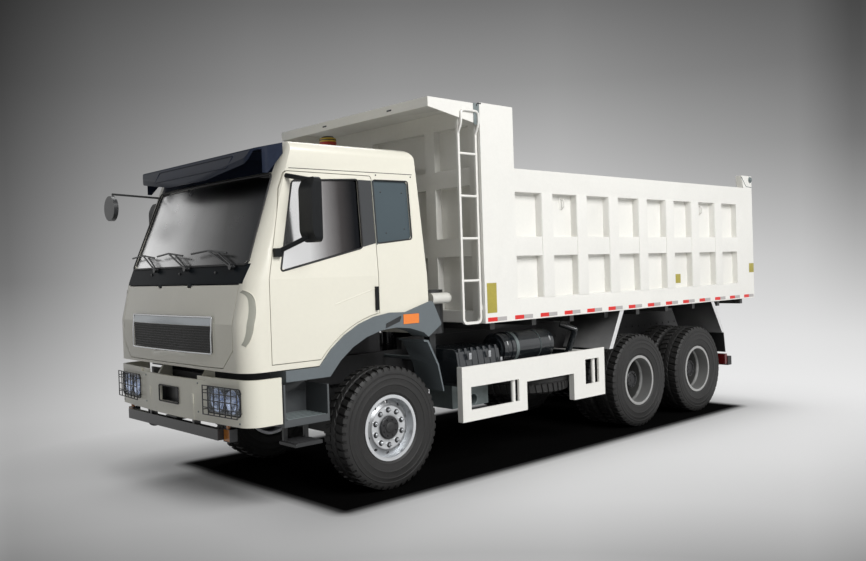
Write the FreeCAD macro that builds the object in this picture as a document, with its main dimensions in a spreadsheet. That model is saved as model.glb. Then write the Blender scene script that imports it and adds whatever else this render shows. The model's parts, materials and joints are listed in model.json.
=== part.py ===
"""Three-axle tipper dump truck with a tilting cab, in millimetres.

The front faces -Y, +X is the truck's left and +Z is up.  The origin is on the
ground, at the middle of the length and width.  Distances along the truck are
measured from the front axle, negative towards the front.
"""
import FreeCAD, Part
import math
import os
import re

SIZES = {
    # Wheels and axles
    "tyre_radius": 562,
    "tyre_width": 314,
    "tread_width": 270,
    "shoulder_drop": 42,
    "bead_width": 240,
    "rim_seat": 286,
    "rim_width": 266,
    "flange_radius": 300,
    "flange_thickness": 8,
    "rim_wall": 16,
    "bolt_circle": 167,
    "hub_radius": 104,
    "disc_thickness": 14,
    "hand_holes": 10,
    "hand_hole_circle": 234,
    "hand_hole_radius": 15,
    "drum_radius": 205,
    "front_wheel_x": 1003,
    "twin_middle_x": 878,
    "twin_spacing": 350,
    "wheelbase": 3900,
    "bogie_spread": 1350,
    "front_disc_reach": 96,
    "seat_gap": 0.3,
    "kingpin_x": 820,
    "kingpin_radius": 24,
    "kingpin_eye": 52,
    "kingpin_eye_height": 120,
    "knuckle_arm": 44,
    "spindle_radius": 48,
    "beam_depth": 110,
    "beam_width": 100,
    "beam_drop": 90,
    "leaf_width": 90,
    "leaf_thickness": 80,
    "leaf_half_length": 760,
    "axle_tube_radius": 88,
    "axle_bowl_radius": 235,
    "bogie_leaf_x": 470,

    # Frame
    "rail_half_width": 430,
    "rail_flange": 80,
    "rail_wall": 10,
    "rail_low": 915,
    "rail_top": 1175,
    "frame_front": -1345,
    "frame_rear": 6200,
    "member_depth": 60,
    "subframe_top": 1290,
    "subframe_front": 760,
    "tip_pivot_y": 6290,
    "tip_pivot_z": 1210,
    "tip_pin_radius": 38,
    "tip_bracket_radius": 68,
    "tilt_pivot_y": -1460,
    "tilt_pivot_z": 1050,
    "tilt_pin_radius": 20,
    "tilt_lug_radius": 38,

    # Engine and radiator
    "engine_half_width": 330,
    "engine_front": -1110,
    "engine_rear": 560,
    "engine_low": 680,
    "engine_top": 1485,
    "radiator_front": -1250,
    "radiator_depth": 110,
    "radiator_low": 760,

    # Bumper and lamps
    "bumper_front": -1600,
    "bumper_rear": -1205,
    "bumper_half_width": 1230,
    "bumper_low": 785,
    "bumper_top": 1160,
    "bumper_dip": 32,
    "bumper_dip_half": 620,
    "bumper_wall": 26,
    "bumper_bow": 90,
    "bumper_bow_radius": 7000,
    "bumper_corner": 150,
    "lamp_inner_x": 655,
    "lamp_outer_x": 1115,
    "lamp_low": 876,
    "lamp_top": 1082,
    "lamp_depth": 60,
    "guard_bar": 3.5,
    "guard_reach": 42,
    "guard_margin": 16,
    "guard_rows": 5,
    "guard_columns": 7,
    "tow_half_width": 180,
    "tow_low": 900,
    "tow_top": 1035,
    "tow_margin": 14,
    "tow_jaw_half": 60,
    "tow_plate": 24,
    "tow_pin_y": -1440,
    "tow_pin_radius": 21,
    "fog_x": 915,
    "fog_z": 705,
    "fog_size": 95,
    "fog_front": -1538,

    # Cab
    "cab_front": -1585,
    "cab_rear": 430,
    "cab_low": 1215,
    "cab_half_width": 1220,
    "cab_roof_half": 1135,
    "belt_z": 1950,
    "screen_foot_y": -1505,
    "screen_head_y": -1155,
    "screen_head_z": 2830,
    "roof_front_y": -1030,
    "roof_z": 3105,
    "cab_nose_z": 1600,
    "cab_bow": 70,
    "cab_bow_radius": 8500,
    "cab_wall": 50,
    "cab_corner": 170,
    "cab_roof_round": 110,
    "arch_radius": 930,
    "tunnel_half_width": 366,
    "tunnel_top": 1560,
    "glass_inset": 14,
    "glass_thickness": 6,
    "panel_gap": 6,
    "door_front_low": -1284,
    "door_front_high": -1125,
    "door_rear": -155,
    "door_low": 1262,
    "door_top": 2842,
    "door_arch_radius": 1066,
    "handle_low": 1645,
    "handle_top": 1855,
    "window_low_front": 2017,
    "window_low_rear": 2205,
    "window_top_front": 2757,
    "window_top_rear": 2795,
    "window_front_low": -1160,
    "window_front_high": -995,
    "window_rear": -315,
    "quarter_front": -135,
    "quarter_rear": 265,
    "cowl_low": 1925,
    "cowl_top": 2085,
    "screen_half_low": 1075,
    "screen_half_high": 1020,
    "flap_half_width": 1040,
    "flap_low": 1240,
    "flap_depth": 300,
    "flap_head_gap": 10,
    "flap_hinge_x": 280,
    "flap_hinge_y": -1490,
    "flap_hinge_z": 1909,
    "flap_lug": 58,
    "flap_pin_radius": 5,
    "flap_cut": 150,
    "grille_half_width": 760,
    "grille_low": 1346,
    "grille_top": 1661,
    "grille_depth": 22,

    # Fenders and steps
    "fender_inner_radius": 915,
    "fender_outer_radius": 1055,
    "fender_inner_x": 1000,
    "fender_face_x": 1238,
    "fender_wall": 18,
    "fender_top_rear_y": 466,
    "fender_top_rear_z": 1703,
    "fender_tip_y": 578,
    "fender_tip_z": 1473,
    "fender_heel_y": 406,
    "fender_heel_z": 1363,
    "sill_front": -1166,
    "sill_low": 1115,
    "sill_top": 1208,
    "side_lamp_front": 100,
    "side_lamp_rear": 290,
    "side_lamp_low": 1500,
    "side_lamp_top": 1590,
    "step_front": -1185,
    "step_rear": -735,
    "step_low": 745,
    "low_step_z": 560,
    "step_top": 1095,
    "step_tread_z": 805,
    "step_inner_x": 880,
    "step_wall": 20,
    "blade_top_y": 435,
    "blade_top_z": 1328,
    "blade_low_y": 619,
    "blade_low_z": 830,
    "blade_wall": 14,

    # Visor, wipers and mirrors
    "visor_front_y": -1365,
    "visor_half_width": 1090,
    "visor_low": 2822,
    "visor_top": 3050,
    "visor_wall": 14,
    "wiper_radius": 8,
    "wiper_right_x": -440,
    "wiper_middle_x": 190,
    "wiper_left_x": 900,
    "wiper_z": 2062,
    "wiper_lift": 148,
    "wiper_reach": 430,
    "wiper_blade": 560,
    "mirror_x": 1395,
    "mirror_half_width": 95,
    "mirror_front": -1010,
    "mirror_rear": -935,
    "mirror_low": 2240,
    "mirror_top": 2765,
    "mirror_arm_radius": 20,
    "round_mirror_x": 1365,
    "round_mirror_y": -1500,
    "round_mirror_z": 2700,
    "round_mirror_radius": 125,

    # Cab inside
    "dash_front": -1385,
    "dash_top": 1960,
    "dash_rear": -1010,
    "seat_x": 700,
    "seat_width": 500,
    "seat_front": -760,
    "seat_depth": 500,
    "seat_z": 1545,
    "seat_cushion": 130,
    "seat_back_height": 760,
    "steering_radius": 235,

    # Dump body
    "body_front": 1165,
    "body_rear": 6755,
    "body_half_width": 1250,
    "body_low": 1435,
    "body_top": 3000,
    "body_wall": 90,
    "sheet": 10,
    "floor_thickness": 60,
    "tall_rear": 1655,
    "tall_top": 3625,
    "panel_start": 1655,
    "panel_width": 412,
    "panel_pitch": 602,
    "panel_count": 8,
    "upper_panel_low": 2300,
    "upper_panel_top": 2760,
    "lower_panel_low": 1660,
    "lower_panel_top": 2100,
    "ear_front": 6450,
    "ear_top": 3172,
    "ear_chamfer": 120,
    "ear_eye_radius": 22,
    "ear_eye_y": 6700,
    "ear_eye_z": 3120,
    "gate_pin_y": 6590,
    "gate_pin_z": 3110,
    "gate_pin_radius": 18,
    "gate_arm_width": 40,
    "gate_thickness": 90,
    "gate_low": 1445,
    "gate_top": 2985,
    "bearer_half_width": 430,
    "bearer_width": 90,
    "bearer_front": 1260,
    "cross_bearer_count": 9,
    "canopy_front": 480,
    "canopy_step": 15,
    "canopy_lip": 92,
    "canopy_drop": 205,
    "canopy_wall": 12,

    # Ladder
    "ladder_x": 1200,
    "ladder_front": 902,
    "ladder_rear": 1142,
    "ladder_low": 1450,
    "ladder_top": 3530,
    "ladder_tube": 13,
    "ladder_rungs": 4,

    # Body mudguards and tail lamps
    "guard_inner_x": 560,
    "guard_outer_x": 1240,
    "guard_wall": 14,
    "front_guard_top_y": 3500,
    "front_guard_low_y": 3225,
    "guard_low_z": 1000,
    "rear_guard_top_y": 5610,
    "rear_guard_low_y": 5865,
    "flap_end_y": 5925,
    "flap_end_z": 725,
    "tail_lamp_y": 5900,
    "tail_lamp_low": 560,
    "tail_lamp_high": 700,
    "tail_lamp_depth": 60,

    # Hoist
    "hoist_y": 930,
    "hoist_z": 960,
    "hoist_radius": 112,
    "hoist_length": 1620,
    "hoist_wall": 14,
    "hoist_low": 1480,
    "hoist_pin_z": 1620,
    "hoist_pin_radius": 30,
    "hoist_plate_gap": 6,
    "hoist_plate": 24,
    "hoist_eye_radius": 45,
    "hoist_eye_half": 40,
    "hoist_neck_radius": 38,
    "hoist_stages": 3,

    # Side guards, tanks and spare wheel
    "rail_guard_x": 1220,
    "rail_guard_wall": 26,
    "rail_guard_return": 70,
    "rail_guard_front": 840,
    "rail_guard_step": 1790,
    "rail_guard_rise": 2580,
    "rail_guard_rear": 3150,
    "rail_guard_low": 490,
    "rail_guard_top": 1030,
    "rail_guard_beam": 785,
    "guard_window_front": 960,
    "guard_window_rear": 1665,
    "guard_window_low": 600,
    "guard_window_top": 825,
    "small_window_front": 2790,
    "small_window_rear": 3040,
    "small_window_low": 640,
    "small_window_top": 920,
    "guard_arm_radius": 24,
    "battery_front": 890,
    "battery_rear": 1500,
    "battery_low": 860,
    "battery_top": 1190,
    "battery_ribs": 7,
    "battery_outer_x": 1130,
    "battery_inner_x": 560,
    "tank_front": 1640,
    "tank_rear": 2440,
    "tank_pipe_y": 2960,
    "tank_radius": 165,
    "tank_x": 900,
    "tank_z": 1125,
    "fuel_front": 990,
    "fuel_rear": 2180,
    "fuel_low": 560,
    "fuel_height": 560,
    "fuel_inner_x": 520,
    "fuel_outer_x": 1130,
    "silencer_front": 960,
    "silencer_rear": 1480,
    "silencer_radius": 120,
    "silencer_x": 760,
    "silencer_z": 690,
    "spare_y": 2340,
    "spare_x": 620,
    "spare_low": 598,
    "cleaner_x": 820,
    "cleaner_y": 800,
    "cleaner_z": 1500,
    "snorkel_x": -570,
    "snorkel_y": 640,
    "snorkel_top": 3460,
    "snorkel_radius": 60,
    "cleaner_radius": 55,
}


def centred(sizes):
    """Puts the origin midway between bumper face and body rear, and adds the sizes that follow from others."""
    sizes["front_axle_y"] = -(sizes["bumper_front"] + sizes["body_rear"]) / 2
    sizes["canopy_top"] = sizes["tall_top"] - sizes["canopy_step"]
    sizes["bogie_y"] = sizes["wheelbase"] + sizes["bogie_spread"] / 2
    return sizes


DOC = FreeCAD.newDocument("DumpTruck")
AXES = {
    "X": FreeCAD.Vector(1, 0, 0),
    "Y": FreeCAD.Vector(0, 1, 0),
    "Z": FreeCAD.Vector(0, 0, 1),
}
TURNS = {
    "XY": FreeCAD.Rotation(),
    "XZ": FreeCAD.Rotation(FreeCAD.Vector(1, 0, 0), 90),
    "YZ": FreeCAD.Rotation(FreeCAD.Vector(1, 1, 1), 120),
}
NODES = []


def make_sheet():
    """Writes each driving size into the spreadsheet under its own name."""
    sheet = DOC.addObject("Spreadsheet::Sheet", "Sizes")
    for row, (name, number) in enumerate(centred(SIZES).items(), start=1):
        sheet.set("A%d" % row, name)
        sheet.set("B%d" % row, str(number))
        sheet.setAlias("B%d" % row, name)
    DOC.recompute()
    return sheet


SHEET = make_sheet()


def size(name):
    """Reads one driving size."""
    return float(SHEET.get(name))


def bound(text):
    """Points each size's name in an expression at its cell."""
    return re.sub(r"[a-z]\w*", lambda word: "Sizes." + word.group(0), str(text))


def lay(piece, x="0", y="0", z="0"):
    """Binds a piece's place; y is measured from the front axle."""
    piece.setExpression("Placement.Base.x", bound(x))
    piece.setExpression("Placement.Base.y", bound("front_axle_y + (%s)" % y))
    piece.setExpression("Placement.Base.z", bound(z))
    return piece


def block(name, x, y, z):
    """A box between two distances along each axis."""
    piece = DOC.addObject("Part::Box", name)
    for side, (low, high) in zip(("Length", "Width", "Height"), (x, y, z)):
        piece.setExpression(side, bound("(%s) - (%s)" % (high, low)))
    return lay(piece, x[0], y[0], z[0])


def rod(name, axis, radius, length, x="0", y="0", z="0"):
    """A cylinder that starts at a point and runs along an axis."""
    piece = DOC.addObject("Part::Cylinder", name)
    piece.Placement.Rotation = FreeCAD.Rotation(AXES["Z"], AXES[axis])
    piece.setExpression("Radius", bound(radius))
    piece.setExpression("Height", bound(length))
    return lay(piece, x, y, z)


def ring(name, axis, outer, inner, length, x="0", y="0", z="0"):
    """A straight tube that starts at a point and runs along an axis."""
    return cut(name, rod(name + "Outside", axis, outer, length, x, y, z),
               [rod(name + "Inside", axis, inner, length, x, y, z)])


def joined(name, pieces):
    """Pieces fused into one."""
    piece = DOC.addObject("Part::MultiFuse", name)
    piece.Shapes = pieces
    piece.Refine = True
    return piece


def cut(name, base, tools):
    """A piece with others taken out of it."""
    tool = tools[0]
    if len(tools) > 1:
        tool = joined(name + "Tools", tools)
    piece = DOC.addObject("Part::Cut", name)
    piece.Base = base
    piece.Tool = tool
    piece.Refine = True
    return piece


def common(name, pieces):
    """What all the pieces share."""
    piece = DOC.addObject("Part::MultiCommon", name)
    piece.Shapes = pieces
    piece.Refine = True
    return piece


def mirrored(name, source):
    """The same piece on the truck's other side."""
    piece = DOC.addObject("Part::Mirroring", name)
    piece.Source = source
    piece.Normal = AXES["X"]
    return piece


def group(name, pieces):
    """Like pieces that share a node and don't touch."""
    piece = DOC.addObject("Part::Compound", name)
    piece.Links = pieces
    return piece


def node(label, piece):
    """Names a finished sub-part."""
    piece.Label = label
    NODES.append(piece)
    return piece


def both_sides(name, source):
    """A piece and its mirror image as one group."""
    return group(name, [source, mirrored(name + "Other", source)])


def corner_arc(before, corner, after, radius):
    """The start, middle and end of the arc that rounds a corner."""
    back = (before - corner).normalize()
    ahead = (after - corner).normalize()
    half = back.getAngle(ahead) / 2
    reach = radius / math.tan(half)
    middle = (back + ahead).normalize() * (radius / math.sin(half) - radius)
    return corner + back * reach, corner + middle, corner + ahead * reach


def outline_edges(points):
    """A closed outline; a point's third number rounds its corner."""
    corners = [FreeCAD.Vector(point[0], point[1], 0) for point in points]
    count = len(points)
    spans = []
    for index, point in enumerate(points):
        corner = corners[index]
        if len(point) < 3:
            spans.append((corner, None, corner))
            continue
        spans.append(corner_arc(corners[index - 1], corner, corners[(index + 1) % count], point[2]))
    edges = []
    for index, (start, middle, end) in enumerate(spans):
        if middle is not None:
            edges.append(Part.Arc(start, middle, end))
        following = spans[(index + 1) % count][0]
        if (following - end).Length > 0.001:
            edges.append(Part.LineSegment(end, following))
    return edges


def sketch(name, plane, points, x="0", y="0", z="0"):
    """A closed sketch on a plane through a bound point."""
    piece = DOC.addObject("Sketcher::SketchObject", name)
    piece.Placement.Rotation = TURNS[plane]
    piece.addGeometry(outline_edges(points), False)
    return lay(piece, x, y, z)


def prism(name, plane, points, start, length):
    """An outline pushed along the axis across its plane, from start."""
    axis = {"YZ": "X", "XZ": "Y", "XY": "Z"}[plane]
    at = {"X": {"x": start}, "Y": {"y": start}, "Z": {"z": start}}[axis]
    piece = DOC.addObject("Part::Extrusion", name)
    piece.Base = sketch(name + "Outline", plane, points, **at)
    piece.DirMode = "Custom"
    piece.Dir = AXES[axis]
    piece.Solid = True
    piece.setExpression("LengthFwd", bound(length))
    return piece


def turned(name, points, x, y, z):
    """An outline of (along X, radius) points turned about an axle."""
    piece = DOC.addObject("Part::Revolution", name)
    piece.Source = sketch(name + "Outline", "XZ", points, x, y, z)
    piece.Axis = AXES["X"]
    piece.Solid = True
    piece.setExpression("Base.y", bound("front_axle_y + (%s)" % y))
    piece.setExpression("Base.z", bound(z))
    return piece


def turned_up(name, points, x, y):
    """An outline of (radius, height) points turned about an upright line."""
    piece = DOC.addObject("Part::Revolution", name)
    piece.Source = sketch(name + "Outline", "XZ", points, x, y, "0")
    piece.Axis = AXES["Z"]
    piece.Solid = True
    piece.setExpression("Base.x", bound(x))
    piece.setExpression("Base.y", bound("front_axle_y + (%s)" % y))
    return piece


def pipe(name, points, radius):
    """A round tube along straight runs with a ball at each turn."""
    pieces = []
    for index, (start, end) in enumerate(zip(points, points[1:])):
        run = DOC.addObject("Part::Cylinder", "%sRun%d" % (name, index))
        run.setExpression("Radius", bound(radius))
        reach = FreeCAD.Vector(*end) - FreeCAD.Vector(*start)
        run.Height = reach.Length
        run.Placement.Rotation = FreeCAD.Rotation(AXES["Z"], reach)
        lay(run, start[0], start[1], start[2])
        pieces.append(run)
    for index, point in enumerate(points[1:-1]):
        ball = DOC.addObject("Part::Sphere", "%sTurn%d" % (name, index))
        ball.setExpression("Radius", bound(radius))
        pieces.append(lay(ball, point[0], point[1], point[2]))
    if len(pieces) == 1:
        return pieces[0]
    return joined(name, pieces)


# Wheels


def tyre_points():
    """Half-widths and radii round a tyre's section."""
    tread = size("tread_width") / 2
    side = size("tyre_width") / 2
    bead = size("bead_width") / 2
    outer = size("tyre_radius")
    seat = size("rim_seat") + size("seat_gap")
    shoulder = outer - size("shoulder_drop")
    return [
        (-tread, outer), (tread, outer), (side, shoulder), (bead, seat),
        (-bead, seat), (-side, shoulder),
    ]


def rim_points(disc_foot, disc_face):
    """A rim's barrel with its disc, which meets the hub at disc_face."""
    half = size("rim_width") / 2
    seat = size("rim_seat")
    flange = size("flange_radius")
    lip = size("flange_thickness")
    bore = seat - size("rim_wall")
    thick = math.copysign(size("disc_thickness"), disc_face - disc_foot)
    land = size("bolt_circle") + 34
    eye = size("hub_radius")
    if disc_face > disc_foot:
        front, back = disc_face, disc_face - thick
        near, far = disc_foot + thick, disc_foot - thick
    else:
        front, back = disc_face - thick, disc_face
        near, far = disc_foot - thick, disc_foot + thick
    return [
        (-half, flange), (-half + lip, flange), (-half + lip, seat), (half - lip, seat),
        (half - lip, flange), (half, flange), (half, bore), (near, bore),
        (front, land), (front, eye), (back, eye), (back, land - 6), (far, bore), (-half, bore),
    ]


def front_rim(side):
    """A front wheel's rim, disc, hub and drum."""
    reach = size("front_disc_reach")
    rim = turned("FrontRimShell" + side, rim_points(30, reach), "front_wheel_x", "0", "tyre_radius")
    eye = size("hub_radius")
    drum = size("drum_radius")
    bore = size("spindle_radius") + size("seat_gap")
    hub = turned("FrontHub" + side, [
        (-90, bore), (-90, drum), (-12, drum), (-12, eye), (reach + 22, eye, 8),
        (reach + 22, bore),
    ], "front_wheel_x", "0", "tyre_radius")
    holes = []
    count = int(size("hand_holes"))
    for number in range(count):
        angle = 2 * math.pi * (number + 0.5) / count
        holes.append(rod("HandHole%s%d" % (side, number), "X", "hand_hole_radius", "160", "front_wheel_x + 20",
                         "hand_hole_circle * %.6f" % math.cos(angle),
                         "tyre_radius + hand_hole_circle * %.6f" % math.sin(angle)))
    return joined("FrontWheel" + side, [cut("PiercedRim" + side, rim, holes), hub])


def rear_rims(name, axle_y):
    """Twin rims back to back on one hub with its drum."""
    half_gap = size("twin_spacing") / 2
    pieces = []
    for way, sign in (("Outer", 1), ("Inner", -1)):
        points = rim_points(-20, -half_gap)
        placed = [(sign * (along + half_gap),) + tuple(rest) for along, *rest in points]
        pieces.append(turned(name + way, placed, "twin_middle_x", axle_y, "tyre_radius"))
    eye = size("hub_radius")
    drum = size("drum_radius")
    bore = size("spindle_radius") + size("seat_gap")
    pieces.append(turned(name + "Hub", [
        (-size("twin_spacing") + 40, bore), (-size("twin_spacing") + 40, drum), (-40, drum),
        (-40, eye), (150, eye, 12), (150, 70), (20, 70), (20, bore),
    ], "twin_middle_x", axle_y, "tyre_radius"))
    return joined(name, pieces)


def wheels():
    """All ten road wheels; each wheel or twin pair has a tyre and a rim node."""
    for side in ("left", "right"):
        tyre = turned("FrontTyre" + side, tyre_points(), "front_wheel_x", "0", "tyre_radius")
        rim = front_rim(side)
        if side == "right":
            tyre = mirrored("FrontTyreRight", tyre)
            rim = mirrored("FrontRimRight", rim)
        node("front_tyre_" + side, tyre)
        node("front_rim_" + side, rim)
        for number, axle_y in ((1, "wheelbase"), (2, "wheelbase + bogie_spread")):
            name = "Rear%d%s" % (number, side)
            outer = turned(name + "TyreOuter", tyre_points(), "twin_middle_x + twin_spacing / 2",
                           axle_y, "tyre_radius")
            inner = turned(name + "TyreInner", tyre_points(), "twin_middle_x - twin_spacing / 2",
                           axle_y, "tyre_radius")
            tyres = group(name + "Tyres", [outer, inner])
            rims = rear_rims(name + "Rims", axle_y)
            if side == "right":
                tyres = mirrored(name + "TyresRight", tyres)
                rims = mirrored(name + "RimsRight", rims)
            node("rear_tyres_%d_%s" % (number, side), tyres)
            node("rear_rims_%d_%s" % (number, side), rims)


# Axles and steering


def front_axle():
    """The dropped beam with its kingpin eyes and the leaf springs it hangs on."""
    axle_z = size("tyre_radius")
    drop = size("beam_drop")
    depth = size("beam_depth")
    eye_x = size("kingpin_x")
    low = axle_z - drop - depth / 2
    high = low + depth
    shelf = eye_x - 110
    neck = eye_x - 260
    lift = size("kingpin_eye_height") / 2 - 4
    beam = prism("FrontBeam", "XZ", [
        (-eye_x, axle_z - lift), (-shelf, axle_z - lift), (-neck, low), (neck, low),
        (shelf, axle_z - lift), (eye_x, axle_z - lift), (eye_x, axle_z + lift),
        (shelf, axle_z + lift), (neck - 30, high), (-neck + 30, high), (-shelf, axle_z + lift),
        (-eye_x, axle_z + lift),
    ], "-beam_width / 2", "beam_width")
    pieces = [beam]
    for side, x in (("Left", "kingpin_x"), ("Right", "-kingpin_x")):
        pieces.append(rod("KingpinEye" + side, "Z", "kingpin_eye", "kingpin_eye_height",
                          x, "0", "tyre_radius - kingpin_eye_height / 2"))
    tools = []
    for side, x in (("Left", "kingpin_x"), ("Right", "-kingpin_x")):
        tools.append(rod("KingpinBore" + side, "Z", "kingpin_radius + seat_gap", "400",
                         x, "0", "tyre_radius - 200"))
    half = size("leaf_half_length")
    thick = size("leaf_thickness")
    hang = size("rail_low")
    leaf = prism("FrontLeaf", "YZ", [
        (-half, hang - 60), (-half, hang), (-half + 70, hang), (-half + 70, hang - 50),
        (-90, high + thick), (90, high + thick), (half - 70, hang - 50), (half - 70, hang),
        (half, hang), (half, hang - 60), (110, high), (-110, high),
    ], "rail_half_width - rail_flange / 2 - leaf_width / 2", "leaf_width")
    body = cut("FrontBeamBored", joined("FrontBeamEyes", pieces), tools)
    node("front_axle", joined("FrontAxle", [body, leaf, mirrored("FrontLeafRight", leaf)]))


def knuckle(side):
    """A yoke round the kingpin eye, the pin and the wheel's spindle."""
    pin = rod("Kingpin" + side, "Z", "kingpin_radius", "kingpin_eye_height + 2 * knuckle_arm",
              "kingpin_x", "0", "tyre_radius - kingpin_eye_height / 2 - knuckle_arm")
    gap = "seat_gap"
    reach = ("kingpin_x - kingpin_eye", "kingpin_x + kingpin_eye + 32")
    wide = ("-kingpin_eye", "kingpin_eye")
    upper = block("KnuckleUpper" + side, reach, wide,
                  ("tyre_radius + kingpin_eye_height / 2 + " + gap,
                   "tyre_radius + kingpin_eye_height / 2 + knuckle_arm"))
    lower = block("KnuckleLower" + side, reach, wide,
                  ("tyre_radius - kingpin_eye_height / 2 - knuckle_arm",
                   "tyre_radius - kingpin_eye_height / 2 - " + gap))
    plate = block("KnucklePlate" + side, ("kingpin_x + kingpin_eye + 6", "kingpin_x + kingpin_eye + 32"),
                  wide, ("tyre_radius - kingpin_eye_height / 2 - knuckle_arm",
                         "tyre_radius + kingpin_eye_height / 2 + knuckle_arm"))
    spindle = rod("Spindle" + side, "X", "spindle_radius",
                  "front_wheel_x + front_disc_reach - kingpin_x - kingpin_eye - 10",
                  "kingpin_x + kingpin_eye + 10", "0", "tyre_radius")
    piece = joined("Knuckle" + side, [pin, upper, lower, plate, spindle])
    if side == "Right":
        piece = mirrored("KnuckleMirrored", piece)
    node("knuckle_" + side.lower(), piece)


def bowl_points():
    """Half the section of an axle's round final-drive housing."""
    big = size("axle_bowl_radius")
    neck = size("axle_tube_radius") / 2
    return [
        (-big * 1.15, 0), (-big * 1.15, neck), (-big * 0.75, big * 0.62, 60), (-big * 0.28, big, 60),
        (big * 0.28, big, 60), (big * 0.75, big * 0.62, 60), (big * 1.15, neck), (big * 1.15, 0),
    ]


def rear_axles():
    """Two driven axles, the bogie's springs between them and the drive shafts."""
    pieces = []
    for number, axle_y in (("One", "wheelbase"), ("Two", "wheelbase + bogie_spread")):
        tube = rod("AxleTube" + number, "X", "axle_tube_radius",
                   "2 * (twin_middle_x - twin_spacing + 30)",
                   "-(twin_middle_x - twin_spacing + 30)", axle_y, "tyre_radius")
        spindle = rod("AxleSpindle" + number, "X", "spindle_radius", "2 * (twin_middle_x + 10)",
                      "-(twin_middle_x + 10)", axle_y, "tyre_radius")
        pieces += [tube, spindle, turned("AxleBowl" + number, bowl_points(), "0", axle_y, "tyre_radius")]
    near = size("wheelbase")
    far = near + size("bogie_spread")
    middle = size("bogie_y")
    seat = size("tyre_radius") + size("axle_tube_radius") - 10
    crown = size("rail_low")
    leaf = prism("BogieLeaf", "YZ", [
        (near - 60, seat), (near + 60, seat), (middle - 120, crown - 130), (middle + 120, crown - 130),
        (far - 60, seat), (far + 60, seat), (far + 60, seat + 45), (middle + 160, crown),
        (middle - 160, crown), (near - 60, seat + 45),
    ], "bogie_leaf_x - leaf_width / 2", "leaf_width")
    saddle = block("BogieSaddle", ("rail_half_width - rail_flange", "bogie_leaf_x + leaf_width / 2"),
                   ("bogie_y - 110", "bogie_y + 110"), ("rail_low - 120", "rail_low"))
    shaft = rod("DriveShaft", "Y", "45", "wheelbase - engine_rear", "0", "engine_rear",
                "tyre_radius + 120")
    link = rod("LinkShaft", "Y", "45", "bogie_spread", "0", "wheelbase", "tyre_radius + 120")
    pieces += [leaf, mirrored("BogieLeafRight", leaf), saddle, mirrored("BogieSaddleRight", saddle),
               shaft, link]
    node("rear_axles", joined("RearAxles", pieces))


# Frame, engine and what hangs on the rails


def frame():
    """Two channel rails with cross-members, the subframe and the hinge brackets."""
    outer = size("rail_half_width")
    inner = outer - size("rail_flange")
    wall = size("rail_wall")
    low = size("rail_low")
    top = size("rail_top")
    rail = prism("Rail", "XZ", [
        (outer, low), (outer, top), (inner, top), (inner, top - wall), (outer - wall, top - wall),
        (outer - wall, low + wall), (inner, low + wall), (inner, low),
    ], "frame_front", "frame_rear - frame_front")
    sub = block("SubRail", ("rail_half_width - rail_flange", "rail_half_width"),
                ("subframe_front", "frame_rear"), ("rail_top", "subframe_top"))
    tip_y = size("tip_pivot_y")
    tip_z = size("tip_pivot_z")
    bracket = prism("TipBracket", "YZ", [
        (tip_y - 260, tip_z - 190), (tip_y - 260, tip_z + 70), (tip_y, tip_z + 68),
        (tip_y + 68, tip_z + 68, 67), (tip_y + 68, tip_z - 68, 67), (tip_y - 90, tip_z - 190),
    ], "rail_half_width - rail_flange", "rail_flange - 30")
    tilt_y = size("tilt_pivot_y")
    tilt_z = size("tilt_pivot_z")
    lug = size("tilt_lug_radius")
    horn = prism("TiltHorn", "YZ", [
        (size("frame_front") + 120, tilt_z + lug), (tilt_y - lug, tilt_z + lug, lug - 1),
        (tilt_y - lug, tilt_z - lug, lug - 1), (size("frame_front") + 120, size("rail_low")),
    ], "rail_half_width", "22")
    pieces = [rail, mirrored("RailRight", rail), sub, mirrored("SubRailRight", sub),
              bracket, mirrored("TipBracketRight", bracket), horn, mirrored("TiltHornRight", horn)]
    pieces.append(rod("TipShaft", "X", "tip_pin_radius", "2 * (rail_half_width + 30)",
                      "-(rail_half_width + 30)", "tip_pivot_y", "tip_pivot_z"))
    for side, x in (("Left", "rail_half_width - 50"), ("Right", "-(rail_half_width + 22)")):
        pieces.append(rod("TiltShaft" + side, "X", "tilt_pin_radius", "72", x, "tilt_pivot_y", "tilt_pivot_z"))
    for number, place in enumerate(("frame_front", "engine_rear + 60", "1500", "2850",
                                    "bogie_y - 60", "frame_rear - 160")):
        pieces.append(block("Member%d" % number, ("-rail_half_width + rail_wall / 2",
                                                  "rail_half_width - rail_wall / 2"),
                            (place, place + " + member_depth"), ("rail_low + 40", "rail_top - 40")))
    cradle = block("HoistCradle", ("-rail_half_width", "rail_half_width"),
                   ("hoist_y - 120", "hoist_y + 120"), ("hoist_z - 170", "hoist_z - 110"))
    cheek = block("HoistCheek", ("hoist_eye_half + hoist_plate_gap",
                                 "hoist_eye_half + hoist_plate_gap + hoist_plate"),
                  ("hoist_y - 75", "hoist_y + 75"), ("hoist_z - 120", "hoist_z + 60"))
    hanger = block("CradleHanger", ("rail_half_width - 24", "rail_half_width"),
                   ("hoist_y - 120", "hoist_y + 120"), ("hoist_z - 170", "rail_low + 60"))
    hole = rod("CheekBore", "X", "hoist_pin_radius", "400", "-200", "hoist_y", "hoist_z")
    cheeks = cut("HoistCheeks", joined("CheekPair", [cheek, mirrored("CheekRight", cheek)]), [hole])
    pieces += [cradle, cheeks, hanger, mirrored("CradleHangerRight", hanger)]
    pieces += rear_bar()
    node("frame", group("FrameUnit", [joined("Frame", pieces), tow_jaw()]))


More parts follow.
